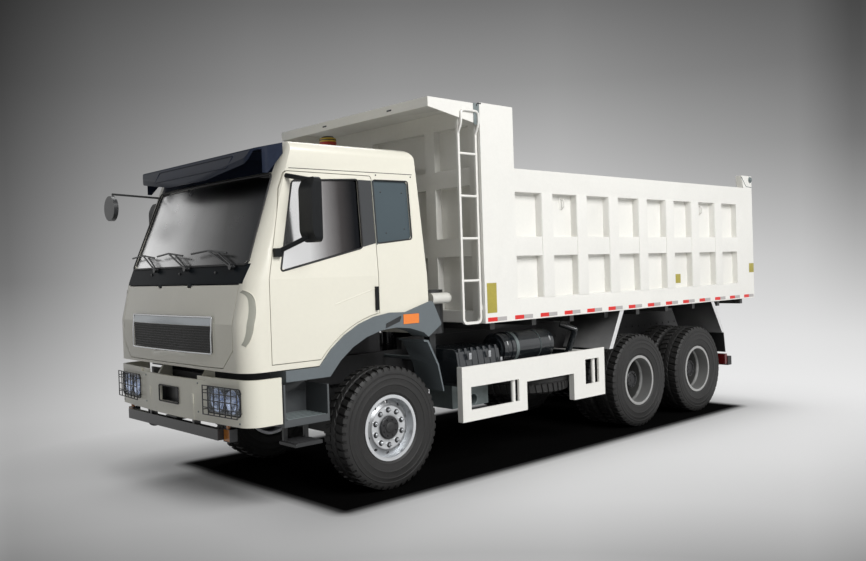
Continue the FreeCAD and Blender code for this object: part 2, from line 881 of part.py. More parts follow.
def tow_jaw():
    """Two plates with a bore for a tow pin, on a block against the front member."""
    span = ("-tow_jaw_half", "tow_jaw_half")
    low = "tow_low + tow_margin"
    top = "tow_top - tow_margin"
    reach = ("tow_pin_y - 50", "frame_front - seat_gap")
    plates = [
        block("TowPlateLow", span, reach, (low, low + " + tow_plate")),
        block("TowPlateHigh", span, reach, (top + " - tow_plate", top)),
        block("TowRoot", span, ("frame_front - 40", "frame_front - seat_gap"), (low, top)),
    ]
    bore = rod("TowBore", "Z", "tow_pin_radius", "tow_top - tow_low + 20", "0", "tow_pin_y", "tow_low - 10")
    return cut("TowJaw", joined("TowPlates", plates), [bore])


def rear_bar():
    """The underrun bar across the tail, which carries the rear lamps."""
    front = "tail_lamp_y + tail_lamp_depth"
    pieces = [block("RearBar", ("-1240", "1240"), (front + " + seat_gap", front + " + 100"),
                    ("tail_lamp_low - 20", "tail_lamp_low + 100"))]
    for side, x in (("Left", ("350", "420")), ("Right", ("-420", "-350"))):
        pieces.append(block("RearBarStay" + side, x, (front + " + 20", front + " + 90"),
                            ("tail_lamp_low + 40", "rail_low + 5")))
    return pieces


def engine():
    """The engine as one block, with the radiator before it."""
    block_part = block("EngineBlock", ("-engine_half_width", "engine_half_width"),
                       ("engine_front", "engine_rear"), ("engine_low", "engine_top"))
    radiator = block("Radiator", ("-engine_half_width", "engine_half_width"),
                     ("radiator_front", "radiator_front + radiator_depth"),
                     ("radiator_low", "engine_top"))
    hose = rod("FanShaft", "Y", "60", "engine_front - radiator_front - radiator_depth / 2", "0",
               "radiator_front + radiator_depth / 2", "engine_low + 420")
    mount = block("EngineMount", ("-rail_half_width + rail_wall", "rail_half_width - rail_wall"),
                  ("engine_front + 300", "engine_front + 420"), ("rail_low + 60", "rail_low + 160"))
    node("engine", joined("Engine", [block_part, radiator, hose, mount]))


def bumper():
    """A pressed bumper with wrapped corners, lamp holes, a tow recess and its low beam."""
    front = size("bumper_front")
    rear = size("bumper_rear")
    half = size("bumper_half_width")
    wall = size("bumper_wall")
    round_out = size("bumper_corner")
    bow = size("bumper_bow")
    radius = size("bumper_bow_radius")
    outside = prism("BumperOutside", "XY", [
        (-half, rear), (-half, front + bow, round_out), (0, front, radius),
        (half, front + bow, round_out), (half, rear),
    ], "bumper_low", "bumper_top - bumper_low")
    inside = prism("BumperInside", "XY", [
        (-half + wall, rear + 10), (-half + wall, front + bow + wall, round_out - wall),
        (0, front + wall, radius), (half - wall, front + bow + wall, round_out - wall),
        (half - wall, rear + 10),
    ], "bumper_low - 10", "bumper_top - bumper_low + 20")
    dip = block("BumperDip", ("-bumper_dip_half", "bumper_dip_half"),
                ("bumper_front - 10", "bumper_front + 60"), ("bumper_top - bumper_dip", "bumper_top + 10"))
    tow = block("TowOpening", ("-tow_half_width", "tow_half_width"),
                ("bumper_front - 10", "bumper_front + 60"), ("tow_low", "tow_top"))
    eyes = []
    for side, x in (("Left", ("lamp_inner_x", "lamp_outer_x")),
                    ("Right", ("-lamp_outer_x", "-lamp_inner_x"))):
        eyes.append(block("LampHole" + side, x, ("bumper_front - 10", "bumper_front + bumper_bow + 40"),
                          ("lamp_low", "lamp_top")))
    skin = cut("BumperSkin", outside, [inside, dip, tow] + eyes)
    beam = block("BumperBeam", ("-860", "860"), ("bumper_front + 12", "bumper_front + 62"),
                 ("bumper_low - 120", "bumper_low - 30"))
    pieces = [skin, beam]
    for side, x in (("Left", ("395", "430")), ("Right", ("-430", "-395"))):
        pieces.append(block("BumperStay" + side, x, ("bumper_front + bumper_wall", "frame_front - seat_gap"),
                            ("rail_low", "rail_low + 90")))
        pieces.append(block("BeamStay" + side, x, ("bumper_front + 30", "bumper_front + 90"),
                            ("bumper_low - 60", "rail_low + 40")))
    node("bumper", joined("Bumper", pieces))


def headlamps():
    """Shallow lamp units seated in the bumper's holes."""
    inner = size("lamp_inner_x") + size("seat_gap")
    outer = size("lamp_outer_x") - size("seat_gap")
    depth = size("lamp_depth")
    lamp = prism("Headlamp", "XY", [
        (inner, bumper_face_y(inner) + 5), (outer, bumper_face_y(outer) + 5),
        (outer, bumper_face_y(outer) + depth), (inner, bumper_face_y(inner) + depth),
    ], "lamp_low + seat_gap", "lamp_top - lamp_low - 2 * seat_gap")
    node("headlamps", both_sides("Headlamps", lamp))


def lamp_guards():
    """A wire cage before each headlamp, on short feet from the bumper."""
    bar = "guard_bar"
    left = size("lamp_inner_x") - size("guard_margin")
    right = size("lamp_outer_x") + size("guard_margin")
    low = size("lamp_low") - size("guard_margin")
    top = size("lamp_top") + size("guard_margin")
    pieces = []
    for number in range(int(size("guard_rows"))):
        z = low + (top - low) * number / (size("guard_rows") - 1)
        pieces.append(guard_wire("GuardRow%d" % number, (left, z), (right, z)))
    for number in range(int(size("guard_columns"))):
        x = left + (right - left) * number / (size("guard_columns") - 1)
        pieces.append(guard_wire("GuardColumn%d" % number, (x, low), (x, top)))
    for number, x in enumerate((left, right)):
        for row, z in enumerate((low + 40, top - 40)):
            face = bumper_face_y(x)
            pieces.append(block("GuardFoot%d%d" % (number, row), ("%g - %s" % (x, bar), "%g + %s" % (x, bar)),
                                ("%g - guard_reach" % face, "%g - seat_gap" % face),
                                ("%g - %s" % (z, bar), "%g + %s" % (z, bar))))
    node("lamp_guards", both_sides("LampGuards", joined("LampGuard", pieces)))


def bumper_face_y(x):
    """How far forward the bumper's bowed face stands at a distance from its middle."""
    run = size("bumper_half_width")
    return size("bumper_front") + size("bumper_bow") * min(abs(x) / run, 1)


def guard_wire(name, start, end):
    """One square wire of the lamp cage between two (x, z) points, along the bumper's face."""
    low_x, low_z = start
    high_x, high_z = end
    bar = size("guard_bar")
    face = "guard_reach"
    front = bumper_face_y(low_x)
    rear = bumper_face_y(high_x)
    if high_x - low_x < bar:
        return block(name, ("%g - guard_bar" % low_x, "%g + guard_bar" % low_x),
                     ("%g - %s - guard_bar" % (front, face), "%g - %s + guard_bar" % (front, face)),
                     ("%g - guard_bar" % low_z, "%g + guard_bar" % high_z))
    reach = size("guard_reach")
    return prism(name, "XY", [
        (low_x - bar, front - reach - bar), (high_x + bar, rear - reach - bar),
        (high_x + bar, rear - reach + bar), (low_x - bar, front - reach + bar),
    ], "%g - guard_bar" % low_z, "2 * guard_bar")


def marker_lamps():
    """Amber lamps on stems below the bumper, and the rear lamps on the tail bar."""
    lamp = block("FogLamp", ("fog_x - fog_size / 2", "fog_x + fog_size / 2"),
                 ("fog_front", "fog_front + 60"),
                 ("fog_z - fog_size / 2", "fog_z + fog_size / 2"))
    stem = block("FogStem", ("fog_x - 12", "fog_x + 12"), ("fog_front + 5", "fog_front + 30"),
                 ("fog_z", "bumper_low - seat_gap"))
    tail = block("TailLamp", ("1010", "1230"), ("tail_lamp_y", "tail_lamp_y + tail_lamp_depth"),
                 ("tail_lamp_low", "tail_lamp_high"))
    left = group("LeftLamps", [joined("FogLampUnit", [lamp, stem]), tail])
    node("marker_lamps", both_sides("MarkerLamps", left))


def cab_steps():
    """An open step box each side between the bumper and the front wheel."""
    front = size("step_front")
    rear = size("step_rear")
    low = size("step_low")
    top = size("step_top")
    tread = size("step_tread_z")
    wall = size("step_wall")
    cheek = [(front, low), (front, top), (front + 60, top), (front + 90, tread), (rear - 90, tread),
             (rear - 40, top - 40), (rear, top - 40), (rear, low)]
    side = prism("StepBack", "YZ", [(front, low), (front, top), (rear, top), (rear, low)],
                 "step_inner_x", "step_wall")
    ends = prism("StepEnds", "YZ", cheek, "step_inner_x", "cab_half_width - step_inner_x")
    hollow = block("StepHollow", ("step_inner_x + step_wall", "cab_half_width + 10"),
                   ("step_front + step_wall", "step_rear - step_wall"),
                   ("step_tread_z", "step_top + 10"))
    under = block("StepUnder", ("step_inner_x - 10", "cab_half_width - step_wall"),
                  ("step_front + step_wall", "step_rear - step_wall"),
                  ("step_low - 10", "step_tread_z - step_wall"))
    box = joined("StepBox", [cut("StepEndsHollow", ends, [hollow, under]), side])
    arm = block("StepArm", ("rail_half_width", "step_inner_x"), ("step_front + 80", "step_front + 150"),
                ("rail_low + 20", "rail_low + 90"))
    foot = block("LowStep", ("step_inner_x + 60", "cab_half_width - 30"),
                 ("step_front + 120", "step_rear - 60"), ("low_step_z", "low_step_z + 30"))
    legs = [block("LowStepLeg%d" % number, ("step_inner_x + 90", "step_inner_x + 120"), span,
                  ("low_step_z + 10", "step_tread_z - 10"))
            for number, span in enumerate((("step_front + 130", "step_front + 170"),
                                           ("step_rear - 110", "step_rear - 70")))]
    node("cab_steps", both_sides("CabSteps", joined("CabStep", [box, arm, foot] + legs)))


def front_mudguards():
    """The blade behind each front wheel, on a bracket from the rail."""
    top_y = size("blade_top_y")
    top_z = size("blade_top_z")
    low_y = size("blade_low_y")
    low_z = size("blade_low_z")
    wall = size("blade_wall")
    blade = prism("Blade", "YZ", [
        (top_y - 60, top_z + 10), (top_y, top_z), (low_y - 60, low_z + 260), (low_y, low_z),
        (low_y - wall, low_z), (low_y - 62 - wall, low_z + 250), (top_y - wall, top_z - 16),
        (top_y - 60, top_z - 8),
    ], "840", "360")
    arm = rod("BladeArm", "X", "18", "850 - rail_half_width", "rail_half_width",
              "blade_top_y + 98", "rail_top - 40")
    node("front_mudguards", both_sides("FrontMudguards", joined("FrontBlade", [blade, arm])))


def rail_guard_face():
    """The side guard's outline with its two windows."""
    front = size("rail_guard_front")
    step = size("rail_guard_step")
    rise = size("rail_guard_rise")
    rear = size("rail_guard_rear")
    low = size("rail_guard_low")
    top = size("rail_guard_top")
    beam = size("rail_guard_beam")
    face = prism("GuardFace", "YZ", [
        (front, low), (front, top), (rear, top), (rear, low), (rise, low), (rise, beam),
        (step, beam), (step, low),
    ], "rail_guard_x - rail_guard_wall", "rail_guard_wall")
    large = block("GuardWindow", ("rail_guard_x - 60", "rail_guard_x + 10"),
                  ("guard_window_front", "guard_window_rear"), ("guard_window_low", "guard_window_top"))
    small = block("SmallWindow", ("rail_guard_x - 60", "rail_guard_x + 10"),
                  ("small_window_front", "small_window_rear"), ("small_window_low", "small_window_top"))
    return cut("GuardFaceCut", face, [large, small])


def side_guards():
    """White guards between the axles, with returned front edges and tube arms."""
    pieces = [rail_guard_face()]
    for name, place in (("Front", "rail_guard_front"), ("Rear", "rail_guard_rise")):
        pieces.append(block("GuardReturn" + name, ("rail_guard_x - rail_guard_return", "rail_guard_x - 5"),
                            (place, place + " + rail_guard_wall"), ("rail_guard_low", "rail_guard_top")))
    for name, place in (("Front", "guard_window_rear - 45"), ("Rear", "small_window_rear - 55")):
        pieces.append(rod("GuardPost" + name, "Z", "guard_arm_radius", "rail_guard_top - rail_guard_low - 60",
                          "rail_guard_x - rail_guard_wall - guard_arm_radius + 4", place,
                          "rail_guard_low + 30"))
    plain = joined("SideGuard", pieces)
    left = joined("SideGuardLeft", [plain] + guard_arms("Left", "tank_front - 60"))
    right = joined("SideGuardRight", [plain] + guard_arms("Right", "fuel_front - 90"))
    node("side_guards", group("SideGuards", [left, mirrored("SideGuardRightTurned", right)]))


def guard_arms(side, front_arm):
    """The tubes that carry a side guard, clear of what hangs on that rail."""
    pieces = []
    for number, place in enumerate((front_arm, "tank_rear + 90", "rail_guard_rear - 60")):
        pieces.append(rod("GuardArm%s%d" % (side, number), "X", "guard_arm_radius",
                          "rail_guard_x - rail_half_width - rail_guard_wall / 2", "rail_half_width",
                          place, "rail_guard_top - 60"))
    return pieces


def battery_box():
    """The covered battery box on the left rail, on its brackets."""
    outer = size("battery_outer_x")
    inner = size("battery_inner_x")
    low = size("battery_low")
    top = size("battery_top")
    box = prism("BatteryBox", "XZ", [
        (inner, low), (inner, top, 40), (outer - 40, top, 60), (outer, low + 90, 30), (outer, low),
    ], "battery_front", "battery_rear - battery_front")
    base = block("BatteryTray", ("rail_half_width", "battery_outer_x + 14"),
                 ("battery_front - 15", "battery_rear + 15"), ("battery_low - 30", "battery_low"))
    ribs = []
    count = int(size("battery_ribs"))
    for number in range(count):
        place = "battery_front + (battery_rear - battery_front) * %.4f" % ((number + 0.5) / count)
        ribs.append(prism("BatteryRib%d" % number, "XZ", [
            (inner + 40, top - 4), (inner + 40, top + 7), (outer - 38, top + 7), (outer + 7, low + 92),
            (outer + 7, low + 20), (outer - 4, low + 20), (outer - 4, low + 92), (outer - 44, top - 4),
        ], place + " - 14", "28"))
    latch = block("BatteryLatch", ("battery_outer_x - 4", "battery_outer_x + 16"),
                  ("battery_front + 190", "battery_front + 226"), ("battery_low + 20", "battery_low + 120"))
    node("battery_box", joined("Battery", [box, base, latch] + ribs))


def air_tank():
    """A round reservoir along the left rail with its straps and bracket."""
    tank = rod("AirTank", "Y", "tank_radius", "tank_rear - tank_front", "tank_x", "tank_front", "tank_z")
    pieces = [tank]
    for number, place in enumerate(("tank_front - 22", "tank_rear - 18")):
        pieces.append(rod("TankDome%d" % number, "Y", "tank_radius - 34", "40", "tank_x", place, "tank_z"))
    low = (size("tank_x") - 60, size("tank_pipe_y"), 960)
    bend = (size("tank_x") + 60, size("tank_pipe_y"), 1240)
    end = (size("tank_x") - 60, size("tank_pipe_y") - 130, 1310)
    pieces.append(pipe("TankPipe", [low, bend, end], "36"))
    pieces.append(block("TankPipeArm", ("rail_half_width", "tank_x - 40"),
                        ("tank_pipe_y - 30", "tank_pipe_y + 30"), ("rail_low + 30", "rail_low + 80")))
    for number, place in enumerate(("tank_front + 120", "tank_rear - 220")):
        pieces.append(rod("TankStrap%d" % number, "Y", "tank_radius + 8", "50", "tank_x", place, "tank_z"))
        pieces.append(block("TankArm%d" % number, ("rail_half_width", "tank_x"),
                            (place, place + " + 50"), ("rail_low + 30", "rail_low + 110")))
    node("air_tank", joined("AirTankUnit", pieces))


def fuel_tank():
    """The rectangular fuel tank on the right rail."""
    low = size("fuel_low")
    top = low + size("fuel_height")
    inner = size("fuel_inner_x")
    outer = size("fuel_outer_x")
    tank = prism("FuelTank", "XZ", [
        (-outer, low, 90), (-outer, top, 90), (-inner, top, 50), (-inner, low, 50),
    ], "fuel_front", "fuel_rear - fuel_front")
    cap = rod("FuelCap", "Z", "45", "40", "-fuel_outer_x + 150", "fuel_front + 160",
              "fuel_low + fuel_height - 5")
    pieces = [tank, cap]
    for number, place in enumerate(("fuel_front + 200", "fuel_rear - 260")):
        pieces.append(block("FuelArm%d" % number, ("-fuel_inner_x - 10", "-rail_half_width"),
                            (place, place + " + 60"), ("rail_low + 40", "rail_low + 160")))
    node("fuel_tank", joined("FuelTankUnit", pieces))


def silencer():
    """The exhaust box behind the left guard's window, with its open tail pipe."""
    front = "silencer_front"
    can = block("SilencerBox", ("silencer_x - 150", "silencer_x + 190"),
                (front, "silencer_rear"), ("silencer_z - 110", "silencer_z + 130"))
    tail = rod("TailPipe", "X", "62", "120", "silencer_x + 180", "silencer_front + 190", "silencer_z - 20")
    bore = rod("TailBore", "X", "52", "200", "silencer_x + 130", "silencer_front + 190", "silencer_z - 20")
    arm = block("SilencerArm", ("rail_half_width - 60", "silencer_x - 100"),
                ("silencer_front + 200", "silencer_front + 300"), ("silencer_z + 40", "silencer_z + 110"))
    post = block("SilencerPost", ("rail_half_width - 70", "rail_half_width - 10"),
                 ("silencer_front + 200", "silencer_front + 300"), ("silencer_z + 40", "rail_low"))
    body = cut("SilencerCut", joined("SilencerBody", [can, tail]), [bore])
    node("silencer", joined("Silencer", [body, arm, post]))


def spare_wheel():
    """The spare wheel flat under the rails on its carrier."""
    tyre = ring("SpareTyre", "Z", "tyre_radius", "rim_seat", "tyre_width", "spare_x", "spare_y", "spare_low")
    rim = ring("SpareRim", "Z", "rim_seat + 5", "rim_seat - rim_wall", "tyre_width - 40",
               "spare_x", "spare_y", "spare_low + 20")
    plate = rod("SparePlate", "Z", "rim_seat", "24", "spare_x", "spare_y", "spare_low + 150")
    pole = rod("SparePole", "Z", "30", "rail_low - spare_low - 130", "spare_x", "spare_y", "spare_low + 160")
    beam = block("SpareBeam", ("rail_half_width", "spare_x + 60"),
                 ("spare_y - 40", "spare_y + 40"), ("rail_low + 10", "rail_low + 50"))
    node("spare_wheel", joined("SpareWheel", [tyre, rim, plate, pole, beam]))


def air_cleaner():
    """The intake duct behind the cab and the filter on its stand."""
    x = size("cleaner_x")
    y = size("cleaner_y")
    duct = pipe("IntakeDuct", [(x + 190, y - 160, 1705), (x + 190, y + 60, 1705), (x, y, 1705)],
                "cleaner_radius")
    filter_can = rod("FilterCan", "Z", "140", "430", "cleaner_x", "cleaner_y", "rail_top + 180")
    foot = block("FilterFoot", ("rail_half_width", "cleaner_x + 40"),
                 ("cleaner_y - 40", "cleaner_y + 40"), ("rail_top - 110", "rail_top - 60"))
    leg = block("FilterLeg", ("cleaner_x - 40", "cleaner_x + 40"), ("cleaner_y - 40", "cleaner_y + 40"),
                ("rail_top - 110", "rail_top + 200"))
    x_far = size("snorkel_x")
    y_far = size("snorkel_y")
    snorkel = pipe("Snorkel", [(x, y, 1705), (x_far, y_far, 1705), (x_far, y_far, size("snorkel_top") - 60)],
                   "snorkel_radius")
    cap = turned_up("SnorkelCap", [
        (0, size("snorkel_top") - 90), (62, size("snorkel_top") - 90), (92, size("snorkel_top") - 60),
        (92, size("snorkel_top") - 10), (60, size("snorkel_top") + 26), (0, size("snorkel_top") + 26),
    ], "snorkel_x", "snorkel_y")
    node("air_cleaner", joined("AirCleaner", [duct, filter_can, foot, leg, snorkel, cap]))


# Cab


def cab_side_points(inset):
    """The cab's side outline, moved in by inset; its front stands clear of the bowed face."""
    front = size("cab_front") - 20
    low = size("cab_low") + inset - (10 if inset < 0 else 0)
    roof = size("roof_z") - inset
    rear = size("cab_rear") - inset
    return [
        (size("cab_front") + 45 + inset, low), (front, low + 150), (front, size("screen_head_z")),
        (size("screen_head_y") + inset, size("screen_head_z")),
        (size("roof_front_y") + inset, roof - 15, 60), (rear - 60, roof, 90), (rear, 1750), (rear, low),
    ]


def bowed_plan(front, rear, half, corner, bow, radius):
    """A plan outline with a bowed front and rounded corners."""
    return [
        (-half, front + bow, corner), (0, front, radius), (half, front + bow, corner), (half, rear, 60),
        (-half, rear, 60),
    ]


def cab_tiers(name, inset):
    """The cab's plan pushed up in three tiers: upright, then leaning back twice."""
    plan = bowed_plan(size("cab_front") + inset, size("cab_rear") + 400, size("cab_half_width") - inset,
                      size("cab_corner") - inset, size("cab_bow"), size("cab_bow_radius"))
    lean = size("screen_foot_y") - size("cab_front")
    nose = size("belt_z") - size("cab_nose_z")
    rake = (size("screen_head_y") - size("screen_foot_y")) / (size("screen_head_z") - size("belt_z"))
    tiers = []
    for number, (low, high, shift, slope) in enumerate((
            ("cab_low - 60", "cab_nose_z", 0, 0),
            ("cab_nose_z", "belt_z", 0, lean / nose),
            ("belt_z", "roof_z + 60", lean, rake))):
        moved = [(point[0], point[1] + shift) + tuple(point[2:]) for point in plan]
        tier = prism("%sTier%d" % (name, number), "XY", moved, low, "(%s) - (%s)" % (high, low))
        tier.Dir = FreeCAD.Vector(0, slope, 1)
        tier.setExpression("LengthFwd", bound("((%s) - (%s)) * %.9f" % (high, low, math.hypot(1, slope))))
        tiers.append(tier)
    return joined(name + "Tiers", tiers)


def cab_form(name, inset):
    """The cab's outer form, moved in by inset all round."""
    half = size("cab_half_width") - inset
    roof_half = size("cab_roof_half") - inset
    low = size("cab_low") - 20 + inset
    roof = size("roof_z") - inset
    round_roof = max(size("cab_roof_round") - inset, 20)
    belt = size("belt_z")
    side = prism(name + "Side", "YZ", cab_side_points(inset), "-cab_half_width - 20",
                 "2 * cab_half_width + 40")
    face = prism(name + "Face", "XZ", [
        (-half, low), (-half, belt), (-roof_half, roof + 4, round_roof), (0, roof + 14, 3000),
        (roof_half, roof + 4, round_roof), (half, belt), (half, low),
    ], "cab_front - 60", "cab_rear - cab_front + 120")
    arch = rod(name + "Arch", "X", "arch_radius + %g" % inset, "2 * cab_half_width + 80",
               "-cab_half_width - 40", "0", "tyre_radius")
    tunnel = block(name + "Tunnel", ("-tunnel_half_width - %g" % inset, "tunnel_half_width + %g" % inset),
                   ("cab_front + cab_wall + 30", "cab_rear + 60"), ("cab_low - 60", "tunnel_top + %g" % inset))
    return cut(name, common(name + "Solid", [side, face, cab_tiers(name, inset)]), [arch, tunnel])


def door_points(gap):
    """A door's side outline with gap all round."""
    front = size("door_front_low") + gap
    high = size("door_front_high") + gap
    rear = size("door_rear") - gap
    low = size("door_low") + gap
    top = size("door_top") - gap
    radius = size("door_arch_radius") + gap
    centre = size("tyre_radius")
    points = [(front, low), (front, size("belt_z")), (high, 2690), (high + 60, top, 40), (rear, top, 30)]
    start = math.acos(min(-rear / radius, 1))
    end = math.asin((low - centre) / radius)
    for step in range(9):
        angle = start + (end - start) * step / 8
        points.append((-radius * math.cos(angle), centre + radius * math.sin(angle)))
    return points


def side_window_points():
    """The door glass outline in side view."""
    return [
        (size("window_front_low"), size("window_low_front"), 30),
        (size("window_front_high"), size("window_top_front"), 40),
        (size("window_rear"), size("window_top_rear"), 15),
        (size("window_rear"), size("window_low_rear"), 15),
    ]


def quarter_points():
    """The fixed panel behind the door in side view."""
    return [
        (size("quarter_front"), size("window_low_rear") + 35, 12),
        (size("quarter_front"), size("window_top_rear") + 5, 12),
        (size("quarter_rear"), size("window_top_rear") + 10, 30),
        (size("quarter_rear"), size("window_low_rear") + 75, 30),
    ]


def screen_points():
    """The windscreen's outline in front view."""
    low = size("cowl_top")
    high = size("screen_head_z") - 10
    return [
        (-size("screen_half_low"), low, 60), (size("screen_half_low"), low, 60),
        (size("screen_half_high"), high, 60), (-size("screen_half_high"), high, 60),
    ]


def flap_points(gap):
    """The front flap's outline with its cut lower corners."""
    half = size("flap_half_width") - gap
    low = size("flap_low") + gap
    top = size("cowl_low") - (size("flap_head_gap") if gap else 0)
    nick = size("flap_cut")
    return [(-half + nick, low), (half - nick, low), (half, low + nick), (half, top),
            (-half, top), (-half, low + nick)]


def left_slab(name, points):
    """A side outline pushed through the cab's left wall."""
    return prism(name, "YZ", points, "cab_roof_half - cab_wall - 10", "220")


def front_slab(name, points, depth="700"):
    """A front outline pushed through the cab's front wall."""
    return prism(name, "XZ", points, "cab_front - 60", depth)


def cab_skin(name):
    """The cab's wall, as thick as cab_wall."""
    return cut(name, cab_form(name + "Outer", 0), [cab_form(name + "Inner", size("cab_wall"))])


def both(name, left):
    """A tool and its mirror image fused, to cut both walls."""
    return joined(name, [left, mirrored(name + "Mirror", left)])


def cab():
    """The cab's shell, its outer panels and everything that rides inside it."""
    skin = cab_skin("CabSkin")
    doors = both("DoorOpenings", left_slab("DoorOpening", door_points(0)))
    quarter = both("QuarterOpenings", left_slab("QuarterOpening", quarter_points()))
    screen = front_slab("ScreenOpening", screen_points())
    flap = front_slab("FlapOpening", flap_points(0), "flap_depth")
    cowl_half = size("screen_half_low") + 40
    cowl_area = prism("CowlArea", "XZ", [
        (-cowl_half + 30, size("cowl_low")), (cowl_half - 30, size("cowl_low")),
        (cowl_half, size("cowl_top")), (-cowl_half, size("cowl_top")),
    ], "cab_front - 60", "500")
    lug_y = size("tilt_pivot_y")
    lug_z = size("tilt_pivot_z")
    lug = size("tilt_lug_radius")
    arm = prism("CabLug", "YZ", [
        (lug_y - lug, lug_z - lug, lug - 1), (lug_y - lug, lug_z + lug + 6, lug - 1),
        (lug_y + 50, size("cab_low") + 14), (lug_y + 150, size("cab_low") + 14),
        (lug_y + 150, size("rail_top") + 20), (size("frame_front") - 12, size("rail_top") + 20),
        (size("frame_front") - 12, lug_z - 10),
        (lug_y + lug + 10, lug_z - lug, 20),
    ], "rail_half_width - 42", "34")
    bore = rod("LugBore", "X", "tilt_pin_radius + seat_gap", "60", "rail_half_width - 60", "tilt_pivot_y",
               "tilt_pivot_z")
    shell = cut("CabShellCut", skin, [doors, quarter, screen, flap, cowl_area])
    pads = cut("CabLugBored", arm, [bore])
    node("cab_shell", joined("CabShell", [shell, pads, mirrored("CabLugRight", pads)]))
    node("front_flap", flap_panel())
    band = common("CowlBand", [cab_skin("CowlSkin"), cowl_area])
    node("cowl", joined("Cowl", [band] + flap_lugs()))
    node("cab_glass", cab_glass(screen, quarter))
    return skin


def flap_lugs():
    """Two lugs under the cowl with the pins that the front flap turns on."""
    half = size("flap_lug") / 2
    y = size("flap_hinge_y")
    z = size("flap_hinge_z")
    lug = prism("FlapLug", "YZ", [
        (y - 9, z - 9, 8), (y + 9, z - 9, 8), (y + 9, z), (y + 34, size("cowl_low") + 4),
        (y + 14, size("cowl_low") + 12), (y - 4, size("cowl_low") + 4),
    ], "flap_hinge_x - %g" % half, "flap_lug")
    pin = rod("FlapPin", "X", "flap_pin_radius", "flap_lug + 44", "flap_hinge_x - %g - 22" % half, "flap_hinge_y",
              "flap_hinge_z")
    left = joined("FlapHinge", [lug, pin])
    return [left, mirrored("FlapHingeRight", left)]


def flap_panel():
    """The lift-up front panel with its shallow grille recess."""
    grille = block("GrilleRecess", ("-grille_half_width", "grille_half_width"),
                   ("cab_front - 60", "cab_front + grille_depth"), ("grille_low", "grille_top"))
    slab = front_slab("FlapSlab", flap_points(size("panel_gap")), "flap_depth")
    behind = cab_form("FlapInside", 0)
    behind.Placement.Base.y = behind.Placement.Base.y + size("cab_wall") + 4
    layer = cut("FlapLayer", cab_form("FlapOutside", 0), [behind])
    panel = common("FlapPanel", [layer, slab])
    half = size("flap_lug") / 2 + size("panel_gap")
    notch = block("FlapNotch", ("flap_hinge_x - %g" % half, "flap_hinge_x + %g" % half),
                  ("flap_hinge_y - 60", "flap_hinge_y + 100"), ("flap_hinge_z - 14", "flap_hinge_z + 30"))
    bore = rod("FlapBore", "X", "flap_pin_radius + seat_gap", "flap_lug + 50",
               "flap_hinge_x - flap_lug / 2 - 25", "flap_hinge_y", "flap_hinge_z")
    seats = joined("FlapSeat", [notch, bore])
    return cut("FrontFlap", panel, [grille, seats, mirrored("FlapSeatRight", seats)])


def glass_layer(name):
    """A thin layer just inside the cab's outer surface."""
    inset = size("glass_inset")
    return cut(name, cab_form(name + "Outer", inset),
               [cab_form(name + "Inner", inset + size("glass_thickness"))])


def cab_glass(screen, quarter):
    """The windscreen and the two fixed side panels."""
    return common("CabGlass", [glass_layer("CabGlassLayer"), joined("GlassAreas", [screen, quarter])])


def doors():
    """Both doors."""
    for side in ("Left", "Right"):
        skin = cab_skin("DoorSkin" + side)
        panel = common("DoorPanel" + side, [skin, left_slab("DoorSlab" + side, door_points(size("panel_gap")))])
        window = left_slab("DoorWindow" + side, side_window_points())
        body = cut("DoorBody" + side, panel, [window])
        glass = common("DoorGlass" + side, [glass_layer("DoorLayer" + side), window])
        fittings = door_fittings(side)
        if side == "Right":
            body = mirrored("DoorRightBody", body)
            glass = mirrored("DoorRightGlass", glass)
            fittings = mirrored("DoorRightFittings", fittings)
        low = side.lower()
        node("door_" + low, body)
        node("door_glass_" + low, glass)
        node("door_fittings_" + low, fittings)


def door_fittings(side):
    """A door's mirror on its two arms and its upright handle."""
    x = size("mirror_x")
    half = size("mirror_half_width")
    low = size("mirror_low")
    top = size("mirror_top")
    outline = prism("MirrorOutline" + side, "XZ", [
        (x - half, low, 45), (x + half, low, 45), (x + half, top, 45), (x - half, top, 45),
    ], "mirror_front - 30", "mirror_rear - mirror_front + 60")
    depth = prism("MirrorDepth" + side, "YZ", [
        (size("mirror_front") - 22, low + 90, 120), (size("mirror_front") + 20, low - 5),
        (size("mirror_rear"), low - 5), (size("mirror_rear"), top + 5),
        (size("mirror_front") + 20, top + 5), (size("mirror_front") - 22, top - 90, 120),
    ], "mirror_x - mirror_half_width - 10", "2 * mirror_half_width + 20")
    pocket = block("MirrorPocket" + side, ("mirror_x - mirror_half_width + 14", "mirror_x + mirror_half_width - 14"),
                   ("mirror_rear - 12", "mirror_rear + 10"), ("mirror_low + 14", "mirror_top - 14"))
    case = cut("MirrorCase" + side, common("MirrorBlock" + side, [outline, depth]), [pocket])
    low_foot = (size("cab_half_width") - 22, size("door_front_low") + 87, 2165)
    high_foot = (size("cab_roof_half") + 22, size("door_front_high") + 75, 2800)
    y = (size("mirror_front") + size("mirror_rear")) / 2
    pieces = [
        case,
        pipe("MirrorLowArm" + side, [low_foot, (x, y, low + 60)], "mirror_arm_radius"),
        pipe("MirrorHighArm" + side, [high_foot, (x, y, top - 20)], "mirror_arm_radius"),
        block("MirrorFoot" + side, ("cab_half_width - 30", "cab_half_width + 22"),
              ("door_front_low + 55", "door_front_low + 119"), ("2130", "2200")),
        block("DoorHandle" + side, ("cab_half_width + seat_gap", "cab_half_width + 24"),
              ("door_rear - 52", "door_rear - 24"), ("handle_low", "handle_top")),
    ]
    seat = cab_form("FittingSeat" + side, -size("seat_gap"))
    return cut("DoorFittings" + side, joined("DoorFittingParts" + side, pieces), [seat])


